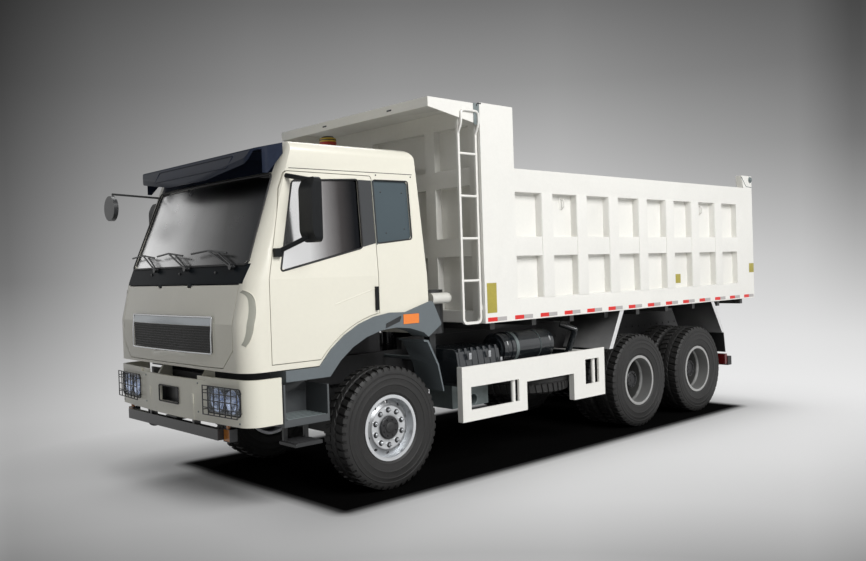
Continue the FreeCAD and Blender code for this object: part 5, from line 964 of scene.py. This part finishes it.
def make_visor_trim():
    """The raised border of the visor's shallow front recess."""
    visor = tree_of("sun_visor")
    make("visor_border", "cab", "visor", lambda work: add_bead(
        work, VISOR_BORDER, lambda x, z: on_front(x, z, 0.0, visor), 0.006, 0.02, 0.12))


# Cab sides

SCREW = [(0.0, 0.007), (0.003, 0.007), (0.005, 0.003)]
MIRROR_X = 1.395
MIRROR_HALF = 0.077
WINDOW = [(-1.168, 2.012), (-1.000, 2.762), (-0.310, 2.801), (-0.310, 2.200)]
QUARTER = [(-0.142, 2.236), (-0.142, 2.804), (0.270, 2.810), (0.270, 2.276)]
CREASE = [(-0.643, 1.717), (-0.45, 1.770), (-0.168, 1.846)]
FENDER_SLOT = [(-0.110, 1.478), (0.055, 1.528), (0.075, 1.565), (0.070, 1.580), (-0.105, 1.520)]
FENDER_X = 1.2382
CAB_SCREWS = ((-0.104, 2.850), (0.311, 2.852))
QUARTER_SCREWS = ((-0.05, 2.70), (-0.02, 2.33), (0.20, 2.70), (0.20, 2.37))


def make_door_trim(side, sign):
    """A door's window seal, pillar cover, crease and mirror."""
    def face(y, z, lift):
        return on_side(y, z, sign, lift)

    def seal(work):
        add_bead(work, WINDOW, lambda y, z: face(y, z, 0.001), 0.008, 0.035)

    def cover(work):
        rows = [[face(y, z, 0.003) for z in (2.205 + (y + 0.315) * 0.22, 2.50, 2.798)]
                for y in spread(-0.308, -0.1635, 4)]
        add_panel(work, rows, X * (-0.003 * sign))

    def swage(work):
        add_tube(work, [face(y, z, -0.0035) for y, z in rounded_pairs(CREASE)], 0.0065, 0, 8)

    def pane(work):
        middle = sign * MIRROR_X
        add_box(work, at(middle - MIRROR_HALF, -0.9465, 2.258),
                at(middle + MIRROR_HALF, -0.9440, 2.747), 0.001)
    door = "door_" + side
    make("window_seal_" + side, door, "seal", seal)
    make("pillar_cover_" + side, door, "gloss_black", cover)
    make("door_crease_" + side, door, "cab", swage)
    make("mirror_pane_" + side, door, "mirror", pane)


def make_quarter_trim(side, sign):
    """The strip, seal, seam and screws round a quarter panel, and the slot in the fender."""
    def strip(work):
        rows = [[on_side(y, z, sign, 0.002) for y in (-0.153, -0.140)] for z in spread(2.226, 2.80, 5)]
        add_panel(work, rows, X * (-0.002 * sign))

    def seal(work):
        add_bead(work, QUARTER, lambda y, z: on_side(y, z, sign), 0.0065, 0.025)

    def seam(work):
        points = [on_side(y, 2.872 + (y + 0.10) * 0.008, sign, -0.001) for y in spread(-1.02, 0.33, 12)]
        add_tube(work, points, 0.0035, 0, 6)

    def screws(work):
        for tree, places in ((CAB, CAB_SCREWS), (WINDOWS, QUARTER_SCREWS)):
            for y, z in places:
                add_lathe(work, SCREW, on_side(y, z, sign, 0, tree), X * sign, 12)

    def slot(work):
        add_slab(work, [at(sign * FENDER_X, y, z) for y, z in FENDER_SLOT], X * (0.0015 * sign))
    make("quarter_strip_" + side, "cab", "quarter", strip)
    make("quarter_seal_" + side, "cab", "seal", seal)
    make("gutter_seam_" + side, "cab", "seal", seam)
    make("side_screws_" + side, "cab", "matt_black", screws)
    make("fender_slot_" + side, "cab", "matt_black", slot)


def make_side_trim():
    """What is fitted to each side of the cab."""
    for side, sign in SIDES:
        make_door_trim(side, sign)
        make_quarter_trim(side, sign)


def make_glass():
    """The windscreen and the slate panels behind the doors, apart from each other."""
    screen_end = FRONT_AXLE_Y - 0.5

    def picked(work, front):
        work.from_mesh(NODES["cab_glass"].data)
        gone = [face for face in work.faces if (face.calc_center_median().y < screen_end) != front]
        bmesh.ops.delete(work, geom=gone, context="FACES")
    screen = make("screen_pane", "cab", "screen", lambda work: picked(work, True))
    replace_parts(screen, "cab_glass")
    make("quarter_panels", "cab", "quarter", lambda work: picked(work, False))


def make_steps():
    """Grip bars on the cab's steps."""
    for label, material, z, (y0, y1), xs in (("upper", "zinc", 0.805, (-1.15, -0.77), (0.93, 1.205)),
                                             ("lower", "chassis", 0.590, (-1.05, -0.81), (0.95, 1.18))):
        def grips(work):
            for _, sign in SIDES:
                for x in spread(*xs, 6):
                    add_box(work, at(sign * x - 0.007, y0, z), at(sign * x + 0.007, y1, z + 0.006), 0.002)
        make("step_grips_" + label, "chassis", material, grips)


# Body trim

BODY_FACE_X = 1.250
TAPES = 14
TAPE_START = 1.198
TAPE_PITCH = 0.404
TAPE_LENGTH = 0.139
TAPE_LOW = 1.4485
TAPE_TOP = 1.4900
POST_START = 1.469
POST_PITCH = 0.602
POST_LENGTH = 0.182
HOOP_X = 1.254
HOOP_ENDS = (0.902, 1.142)
HOOK_YS = (2.499, 5.420)
PLATES = ((1.195, 1.335, 1.535, 1.835), (4.780, 4.920, 1.710, 1.826), (6.615, 6.752, 1.800, 1.930))


def bed_face(y, z, sign):
    """How far a place on the body's side lies from the middle."""
    return abs(on_side(y, z, sign, 0, BED).x)


def make_tape(side, sign):
    """Red and white reflecting strips along the body's lower edge."""
    for colour, shift in (("red", 0.0), ("white", 0.140)):
        def strips(work):
            for number in range(TAPES):
                start = TAPE_START + TAPE_PITCH * number + shift
                add_box(work, at(sign * BODY_FACE_X, start, TAPE_LOW),
                        at(sign * (BODY_FACE_X + 0.0008), start + TAPE_LENGTH, TAPE_TOP))
        make("tape_%s_%s" % (colour, side), "bed", "tape_" + colour, strips)


def make_plates(side, sign):
    """Bare olive plates on the body's side."""
    def plates(work):
        for y0, y1, z0, z1 in PLATES:
            face = bed_face((y0 + y1) / 2, (z0 + z1) / 2, sign)
            add_box(work, at(sign * (face - 0.001), y0, z0), at(sign * (face + 0.0015), y1, z1), 0.0008)
    make("plates_" + side, "bed", "olive", plates)


def make_posts(side, sign):
    """Cover strips on the posts between the recesses, and the gusset at the tail's ear."""
    def posts(work):
        for number in range(1, 8):
            start = POST_START + POST_PITCH * number
            add_box(work, at(sign * 1.2495, start, 1.655),
                    at(sign * 1.2560, start + POST_LENGTH, 2.765), 0.003)

    def gusset(work):
        path = [at(sign * BODY_FACE_X, y, z) for y, z in ((6.462, 3.150), (6.590, 3.020), (6.745, 3.012))]
        add_tube(work, path, 0.0045, 0.02)
    make("body_posts_" + side, "bed", "body", posts)
    make("ear_gusset_" + side, "bed", "zinc", gusset)


def make_hooks(side, sign):
    """Sheet hooks in the upper recesses, and the pin in the tail's ear."""
    def hooks(work):
        for y in HOOK_YS:
            face = bed_face(y, 2.65, sign)
            add_box(work, at(sign * face, y - 0.035, 2.60), at(sign * (face + 0.006), y + 0.035, 2.74), 0.002)
            path = [at(sign * (face + out), y, z) for out, z in ((0.004, 2.72), (0.045, 2.70), (0.045, 2.63),
                                                                 (0.012, 2.61))]
            add_tube(work, path, 0.009)

    def ear_pin(work):
        seat = at(on_side(6.66, 3.09, sign, 0, BED).x, 6.700, 3.120)
        add_lathe(work, [(-0.004, 0.042), (0.010, 0.042), (0.014, 0.036), (0.014, 0.024), (0.024, 0.024),
                         (0.028, 0.018)], seat, X * sign, 28)
    make("body_hooks_" + side, "bed", "body", hooks)
    make("ear_pins_" + side, "bed", "zinc", ear_pin)


def make_canopy_trim():
    """The bar and catch beside the canopy, the ladder's hoop and two slots in the canopy's lip."""
    canopy = tree_of("canopy")

    def catch(work):
        path = [at(1.246, y, z) for y, z in ((1.125, 3.585), (1.135, 3.612), (1.190, 3.615))]
        add_tube(work, path, 0.008, 0.02)

    def hoop(work):
        legs = [[at(x, y, z) for x, z in ((1.200, 3.30), (HOOP_X, 3.40), (HOOP_X, 3.530))] for y in HOOP_ENDS]
        add_tube(work, legs[0] + legs[1][::-1], 0.0125, 0.05, 12)

    def slots(work):
        half = Vector((0.035, 0.002, 0.008))
        for x in (0.68, -0.40):
            place = on_front(x, 3.56, 0.0, canopy)
            add_box(work, place - half, place + half, 0.001)
    make("canopy_bar", "bed", "zinc",
         lambda work: add_box(work, at(1.2425, 1.085, 3.400), at(BODY_FACE_X, 1.160, 3.612), 0.002))
    make("canopy_catch", "bed", "matt_black", catch)
    make("ladder_hoop", "bed", "body", hoop)
    make("canopy_slots", "bed", "matt_black", slots)


def make_body_trim():
    """What is fitted to the body."""
    for side, sign in SIDES:
        make_tape(side, sign)
        make_plates(side, sign)
        make_posts(side, sign)
        make_hooks(side, sign)
    make_canopy_trim()


# Chassis trim

TANK = at(0.900, 0, 1.125)
TANK_SEAM_YS = (1.695, 2.385)
TANK_STRAP_YS = (1.845, 2.235)
SEAM = [(-0.006, 0.1652), (0.0, 0.1685), (0.006, 0.1652)]
STRAP = [(-0.022, 0.1655), (-0.022, 0.1695), (0.022, 0.1695), (0.022, 0.1655)]
FUEL_STRAP_YS = (1.25, 1.60, 1.93)
FRAME_FACE_X = 0.430
RIVET_YS = spread(1.30, 6.10, 33)
RIVET_ZS = (0.955, 1.125)
BRAKE_POT = [(0.0, 0.072), (0.045, 0.085), (0.055, 0.092), (0.065, 0.085), (0.115, 0.070), (0.125, 0.045)]
INTAKE = at(-0.570, 0.640, 0)


def make_tank_trim():
    """The air tank's weld seams, drain and straps, the battery box's latches and the fuel tank's straps."""
    def seams(work):
        for y in TANK_SEAM_YS:
            add_lathe(work, SEAM, TANK + Y * y, Y, 56, closed=True)
        add_tube(work, [TANK + Y * 2.04 - Z * drop for drop in (0.163, 0.195)], 0.012)

    def straps(work):
        for y in TANK_STRAP_YS:
            add_lathe(work, STRAP, TANK + Y * y, Y, 56, closed=True)
            add_rod(work, *(TANK + Vector((-0.168, y, z)) for z in (0.05, -0.06)), 0.008)

    def latches(work):
        add_box(work, at(1.128, 1.470, 0.960), at(1.150, 1.500, 1.070), 0.004)
        for y in (1.04, 1.32):
            add_box(work, at(1.130, y - 0.018, 1.085), at(1.144, y + 0.018, 1.150), 0.004)

    def fuel(work):
        for y in FUEL_STRAP_YS:
            for x0, x1, z0, z1 in ((-1.128, -0.44, 0.558, 0.561), (-1.128, -0.44, 1.154, 1.158),
                                   (-1.134, -1.129, 0.562, 1.153)):
                add_box(work, at(x0, y - 0.025, z0), at(x1, y + 0.025, z1), 0.001)
        add_lathe(work, [(-0.002, 0.055), (0.022, 0.055), (0.028, 0.048)], at(-0.95, 2.06, 1.155), Z, 28)
    make("tank_seams", "chassis", "gloss_black", seams)
    make("tank_straps", "chassis", "zinc", straps)
    make("battery_latches", "chassis", "steel", latches)
    make("fuel_straps", "chassis", "zinc", fuel)


def make_intake_trim():
    """The intake's coloured cap with its red band."""
    make("intake_band", "chassis", "red_band", lambda work: add_lathe(
        work, [(3.388, 0.0925), (3.420, 0.0940), (3.424, 0.0925)], INTAKE, Z, 40, closed=True))
    make("intake_cap", "chassis", "yellow", lambda work: add_lathe(
        work, [(3.424, 0.0935), (3.462, 0.0900), (3.476, 0.062), (3.486, 0.030)], INTAKE, Z, 40))


def make_frame_trim():
    """Rivets on the frame, brake pots on the rear axles and covers on the engine block."""
    def rivets(work):
        for _, sign in SIDES:
            for y in RIVET_YS:
                for z in RIVET_ZS:
                    add_lathe(work, [(-0.001, 0.013), (0.006, 0.011), (0.009, 0.006)],
                              at(sign * FRAME_FACE_X, y, z), X * sign, 8)

    def pots(work):
        for _, sign in SIDES:
            for _, y in REAR_AXLES:
                add_lathe(work, BRAKE_POT, at(sign * 0.34, y - 0.19, 0.68), -Y, 28)

    def covers(work):
        for y in spread(-0.95, 0.05, 6):
            add_pillow(work, at(0.0, y, 1.486), Vector((0.24, 0.085, 0.05)), 0.35, 24, 10)
    make("frame_rivets", "chassis", "chassis", rivets)
    make("brake_pots", "chassis", "chassis", pots)
    make("engine_covers", "chassis", "chassis", covers)


# Cab inside

SEAT_X = 0.70
SEAT_SMOOTH = 60
SEWN_LINES = ((-0.15, 0.03, 0.014), (0.15, 0.03, 0.014))
PIPING = ((-0.322, 1.70), (-0.324, 1.88), (-0.321, 2.06))
LINING = [(-0.98, 1.46), (-0.30, 1.62), (-0.24, 1.72), (-0.24, 2.10), (-0.98, 1.95)]


def make_seat(side, x):
    """A cloth seat with bolsters, headrest and piping on its base."""
    def base(work):
        add_box(work, at(x - 0.14, -0.68, 1.336), at(x + 0.14, -0.34, 1.50), 0.01)
        add_box(work, at(x - 0.22, -0.72, 1.500), at(x + 0.22, -0.30, 1.545), 0.012)

    def piping(work):
        for dx in (-0.15, 0.15):
            add_tube(work, [at(x + dx, y, z) for y, z in PIPING], 0.004)
        for dx in (-0.06, 0.06):
            add_tube(work, [at(x + dx, -0.26, 2.08), at(x + dx, -0.26, 2.16)], 0.007)
    for part, centre, half, channels in (
            ("cushion", at(x, -0.500, 1.605), Vector((0.248, 0.258, 0.068)), SEWN_LINES),
            ("back", at(x, -0.262, 1.885), Vector((0.235, 0.058, 0.235)), ()),
            ("headrest", at(x, -0.258, 2.205), Vector((0.140, 0.050, 0.095)), ())):
        pad = make("seat_%s_%s" % (part, side), "cab", "cloth",
                   lambda work: add_pillow(work, centre, half, 0.40, 48, 24, channels), SEAT_SMOOTH)
    make("seat_piping_" + side, "cab", "seal", piping)
    return make("seat_base_" + side, "cab", "trim", base)


def make_door_lining(side, sign):
    """A lining with an armrest on a door's inside."""
    def lining(work):
        add_slab(work, [at(sign * 1.0745, y, z) for y, z in LINING], X * (-0.010 * sign))
        low, high = sorted((sign * 1.045, sign * 1.068))
        add_box(work, at(low, -0.88, 1.80), at(high, -0.42, 1.85), 0.010)
    make("door_lining_" + side, "door_" + side, "trim", lining)


def make_interior():
    """Both seats and both door linings; the left seat's base stands for the CAD seats."""
    bases = [make_seat(side, sign * SEAT_X) for side, sign in SIDES]
    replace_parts(bases[0], "seats")
    for side, sign in SIDES:
        make_door_lining(side, sign)


# Finishes of the CAD nodes

SOFTENED = {
    ("cab", "cab_paint"): {"cab_shell": 0.006, "door_left": 0.004, "door_right": 0.004, "front_flap": 0.004},
    ("cowl", "black_band"): {"cowl": 0.003},
    ("bumper", "cab_paint"): {"bumper": 0.006},
    ("body", "body_paint"): {"bed_side_left": 0.008, "bed_side_right": 0.008, "headboard": 0.006,
                             "canopy": 0.003, "tailgate": 0.006, "ladder": 0.004, "side_guards": 0.004},
    ("floor", "body_paint"): {"bed_floor": 0.004},
    ("mudguard", "body_paint"): {"bed_mudguards": 0.002},
    ("slate", "slate_paint"): {"cab_fenders": 0.006, "front_mudguards": 0.003},
    ("steps", "slate_paint"): {"cab_steps": 0.004},
    ("gloss_black", "tank_paint"): {"battery_box": 0.004, "fuel_tank": 0.004},
    ("visor", "visor_plastic"): {"sun_visor": 0.004},
    ("chassis", "frame_paint"): {"frame": 0.003, "engine": 0.010},
    ("zinc", "frame_paint"): {"silencer": 0.006},
    ("intake", "tank_paint"): {"air_cleaner": 0.003},
    ("mirror_black", "dark_plastic"): {"door_fittings_left": 0.005, "door_fittings_right": 0.005},
    ("amber", "amber_plastic"): {"side_lamps": 0.004},
    ("lamp_paint", "amber_plastic"): {"marker_lamps": 0.005},
    ("matt_black", "dark_plastic"): {"round_mirror": 0.004},
}
PAINTED = {
    "gloss_black": ("air_tank",),
    "trim": ("dashboard",),
    "side_glass_painted_reflection": ("door_glass_left", "door_glass_right"),
    "chassis": ("front_axle", "rear_axles", "hoist_cover", "knuckle_left", "knuckle_right"),
    "front_rim": ("front_rim_left", "front_rim_right"),
    "rear_rim_1": ("rear_rims_1_left", "rear_rims_1_right"),
    "rear_rim_2": ("rear_rims_2_left", "rear_rims_2_right"),
    "steel": ("hoist_stage_1", "hoist_stage_2"),
    "rod": ("hoist_stage_3",),
    "matt_black": ("lamp_guards", "wipers"),
}


def finish_nodes():
    """Each CAD node softened by its width, or painted as it is."""
    for (material, slot), widths in SOFTENED.items():
        for node, width in widths.items():
            soften(node, width, material)
    for material, nodes in PAINTED.items():
        for node in nodes:
            paint_node(node, material)


# Studio

CAMERA = Vector((7.083, -7.5055, 1.998))
CAMERA_ANGLES = (47.22, -0.81, -1.82)
FOCAL_PIXELS = 849.9
PICTURE_WIDTH = 866
FILM_WIDTH = 36.0
# The backdrop's tones are (place, value) stops; a place runs up the picture, or from left to right.
HORIZON = 0.444
LEVEL_SPAN = 0.9
PLAIN_HEIGHT = 30.0
FAR_GLOW = [(0.07, 0.45), (0.14, 0.67), (0.20, 0.77), (0.30, 0.82), (HORIZON, 0.74), (0.586, 0.47),
            (0.68, 0.30), (0.79, 0.17), (1.0, 0.05)]
LEFT_LOSS = ([(0.07, 0.65), (0.20, 0.49), (0.28, 0.46), (0.35, 0.58), (HORIZON, 0.77), (1.0, 0.88)],
             [(0.0, 0.0), (0.12, 0.3), (0.21, 1.0), (0.276, 1.0), (0.32, 0.66), (0.40, 0.2), (0.475, 0.0)])
RIGHT_LOSS = ([(0.07, 0.40), (0.20, 0.17), (0.28, 0.0), (0.35, 0.08), (HORIZON, 0.37), (0.586, 0.64),
               (1.0, 0.85)],
              [(0.575, 0.0), (0.64, 0.35), (0.70, 0.6), (0.724, 1.0), (0.79, 1.0), (0.88, 0.3), (1.0, 0.0)])
PLAIN_GLOW = [(0.0, 0.60), (0.10, 0.60), (0.35, 0.42), (0.65, 0.20), (1.0, 0.08)]
SCREENS = [(0.0, 0.9), (0.15, 0.9), (0.21, 0.0), (0.79, 0.0), (0.85, 0.9), (1.0, 0.9)]
ASIDE = Vector((0.679, 0.734, 0.0))
AHEAD = Vector((-0.734, 0.679, 0.0))
SHADE_HALF = (1.34, 3.27)
FLOOR_RADIUS = 14.0
COVE_RADIUS = 12.0
ROUND = 96


def camera_share(tree):
    """1 for rays from the camera, from mirrors and through glass, and 0 for the rest."""
    camera, glossy, through = (add_node(tree, "ShaderNodeLightPath").outputs["Is %s Ray" % kind]
                               for kind in ("Camera", "Glossy", "Transmission"))
    return calculated("MAXIMUM", calculated("MAXIMUM", camera, glossy), through)


def along_share(ray, direction, away):
    """The share of a ray's level reach that goes in a direction."""
    turned = add_node(ray.id_data, "ShaderNodeVectorMath", ray, direction, operation="DOT_PRODUCT")
    return calculated("DIVIDE", turned.outputs["Value"], away)


def studio_glow(tree):
    """The studio's tone by height and by direction from the picture's viewpoint."""
    place = add_node(tree, "ShaderNodeNewGeometry").outputs["Position"]
    ray = add_node(tree, "ShaderNodeVectorMath", place, CAMERA, operation="SUBTRACT").outputs[0]
    parts = apart(ray)
    squares = [product(parts[axis], parts[axis]) for axis in ("X", "Y")]
    away = calculated("POWER", calculated("ADD", *squares), 0.5)
    level = scaled(calculated("DIVIDE", parts["Z"], away), 1 / LEVEL_SPAN, HORIZON)
    bearing = scaled(along_share(ray, ASIDE, away), 0.5, 0.5)
    tone = shaded(level, FAR_GLOW)
    for stops, sides in (LEFT_LOSS, RIGHT_LOSS):
        loss = product(shaded(level, stops), shaded(bearing, sides))
        tone = product(tone, scaled(loss, -1.0, 1.0))
    seen = product(shaded(along_share(ray, AHEAD, away), [(0.78, 0.0), (0.89, 1.0)]),
                   shaded(scaled(away, 0.1), [(0.35, 0.0), (0.58, 1.0)]))
    plain = shaded(scaled(parts["Z"], 1 / PLAIN_HEIGHT, 2 / PLAIN_HEIGHT), PLAIN_GLOW)
    mixed = add_node(tree, "ShaderNodeMix", data_type="FLOAT", Factor=seen, A=plain, B=tone)
    screens = product(shaded(bearing, SCREENS), shaded(level, [(0.30, 0.0), (HORIZON, 1.0), (1.0, 1.0)]))
    mirrored = product(add_node(tree, "ShaderNodeLightPath").outputs["Is Glossy Ray"], screens)
    return calculated("MAXIMUM", mixed.outputs["Result"], mirrored)


def beyond_truck(tree):
    """The distance of a floor point from the truck's footprint."""
    parts = apart(add_node(tree, "ShaderNodeNewGeometry").outputs["Position"])
    squares = []
    for axis, half in zip(("X", "Y"), SHADE_HALF):
        beyond = calculated("SUBTRACT", calculated("ABSOLUTE", parts[axis]), half)
        beyond = calculated("MAXIMUM", beyond, 0.0)
        squares.append(product(beyond, beyond))
    return calculated("POWER", calculated("ADD", *squares), 0.5)


def shown_glow(tree, share, glow, own):
    """A surface of its own that gives way to the studio's glow by a share."""
    light = add_node(tree, "ShaderNodeEmission", Color=glow).outputs[0]
    mixed = add_node(tree, "ShaderNodeMixShader", share, own, light)
    feed(tree.nodes["Material Output"].inputs["Surface"], mixed.outputs[0])


def floor_finish():
    """A matt floor, pale round the truck with a painted shadow under it, that melts into the backdrop."""
    material, shader, _ = new_material("studio_floor", Roughness=0.9, Specular_IOR_Level=0.0)
    tree = shader.id_data
    glow = studio_glow(tree)
    away = beyond_truck(tree)
    # The floor's colour fades to near black over the truck's footprint: a painted shadow.
    coloured(shader, product(glow, shaded(away, [(0.01, 0.005), (0.07, 0.10), (0.14, 0.55), (0.22, 0.92),
                                                 (0.35, 1.0)])))
    edge = shaded(scaled(away, 0.2), [(0.07, 0.0), (0.20, 0.55), (0.5, 1.0)])
    shown_glow(tree, product(edge, camera_share(tree)), glow, shader.outputs[0])
    return material


def wall_finish():
    """A backdrop that shows a soft glow and lets the lamps' and the world's light through."""
    material, shader, _ = new_material("studio_wall")
    tree = shader.id_data
    clear = add_node(tree, "ShaderNodeBsdfTransparent").outputs[0]
    shown_glow(tree, camera_share(tree), studio_glow(tree), clear)
    return material


def add_staged(name, build, material):
    """A background object that isn't part of the truck."""
    piece = bpy.data.objects.new(name, mesh_from(name, build))
    bpy.context.scene.collection.objects.link(piece)
    for polygon in piece.data.polygons:
        polygon.use_smooth = True
    piece.data.materials.append(material)


def make_studio():
    """A round floor that curves up into a wall."""
    def floor(work):
        work.faces.new(verts_at(work, ring_of(Vector(), X, Y, FLOOR_RADIUS, ROUND)))

    def wall(work):
        cove = [(COVE_RADIUS * (1 - math.cos(turn)), FLOOR_RADIUS + COVE_RADIUS * math.sin(turn))
                for turn in spread(0.0, math.pi / 2, 24)]
        top = FLOOR_RADIUS + COVE_RADIUS
        rings = [verts_at(work, ring_of(Z * z, X, Y, radius, ROUND)) for z, radius in cove + [(top, top)]]
        for low, high in zip(rings, rings[1:]):
            bridge(work, low, high)
    add_staged("floor", floor, floor_finish())
    add_staged("wall", wall, wall_finish())


def area_light(name, place, aim, size, energy):
    """A soft square lamp."""
    data = bpy.data.lights.new(name, "AREA")
    data.energy = energy
    data.size = size
    lamp = bpy.data.objects.new(name, data)
    lamp.location = place
    lamp.rotation_euler = (Vector(aim) - Vector(place)).to_track_quat("-Z", "Y").to_euler()
    bpy.context.scene.collection.objects.link(lamp)


def make_lights():
    """A broad key lamp from the truck's left, a high lamp from behind and a dim sky."""
    area_light("key", (19.2, -2.4, 14.2), (0.0, 0.0, 1.5), 12.0, 5050.0)
    area_light("high", (-7.7, 5.5, 19.8), (0.0, 0.0, 1.0), 12.0, 1700.0)
    world = bpy.data.worlds.new("studio")
    bpy.context.scene.world = world
    world.use_nodes = True
    sky = world.node_tree.nodes["Background"].inputs
    sky["Color"].default_value = (0.80, 0.81, 0.83, 1.0)
    sky["Strength"].default_value = 0.16


def make_camera():
    """The photograph's viewpoint."""
    data = bpy.data.cameras.new("photo")
    camera = bpy.data.objects.new("photo", data)
    bpy.context.scene.collection.objects.link(camera)
    data.sensor_width = FILM_WIDTH
    data.lens = FOCAL_PIXELS / PICTURE_WIDTH * FILM_WIDTH
    data.clip_end = 300.0
    yaw, pitch, roll = (math.radians(angle) for angle in CAMERA_ANGLES)
    ahead = Vector((-math.sin(yaw) * math.cos(pitch), math.cos(yaw) * math.cos(pitch), math.sin(pitch)))
    level = ahead.cross(Z).normalized()
    upward = level.cross(ahead)
    right = level * math.cos(roll) + upward * math.sin(roll)
    up = upward * math.cos(roll) - level * math.sin(roll)
    basis = Matrix((right, up, -ahead)).transposed().to_4x4()
    camera.matrix_world = Matrix.Translation(CAMERA) @ basis
    bpy.context.scene.camera = camera


make_tyres()
make_spare_rim()
make_hubs()
make_grille()
make_screen_trim()
make_corner_trim()
make_headlamps()
make_bumper_trim()
make_visor_trim()
make_side_trim()
make_glass()
make_steps()
make_body_trim()
make_tank_trim()
make_intake_trim()
make_frame_trim()
make_interior()
finish_nodes()
make_studio()
make_lights()
make_camera()
bpy.context.scene.view_settings.view_transform = "Standard"
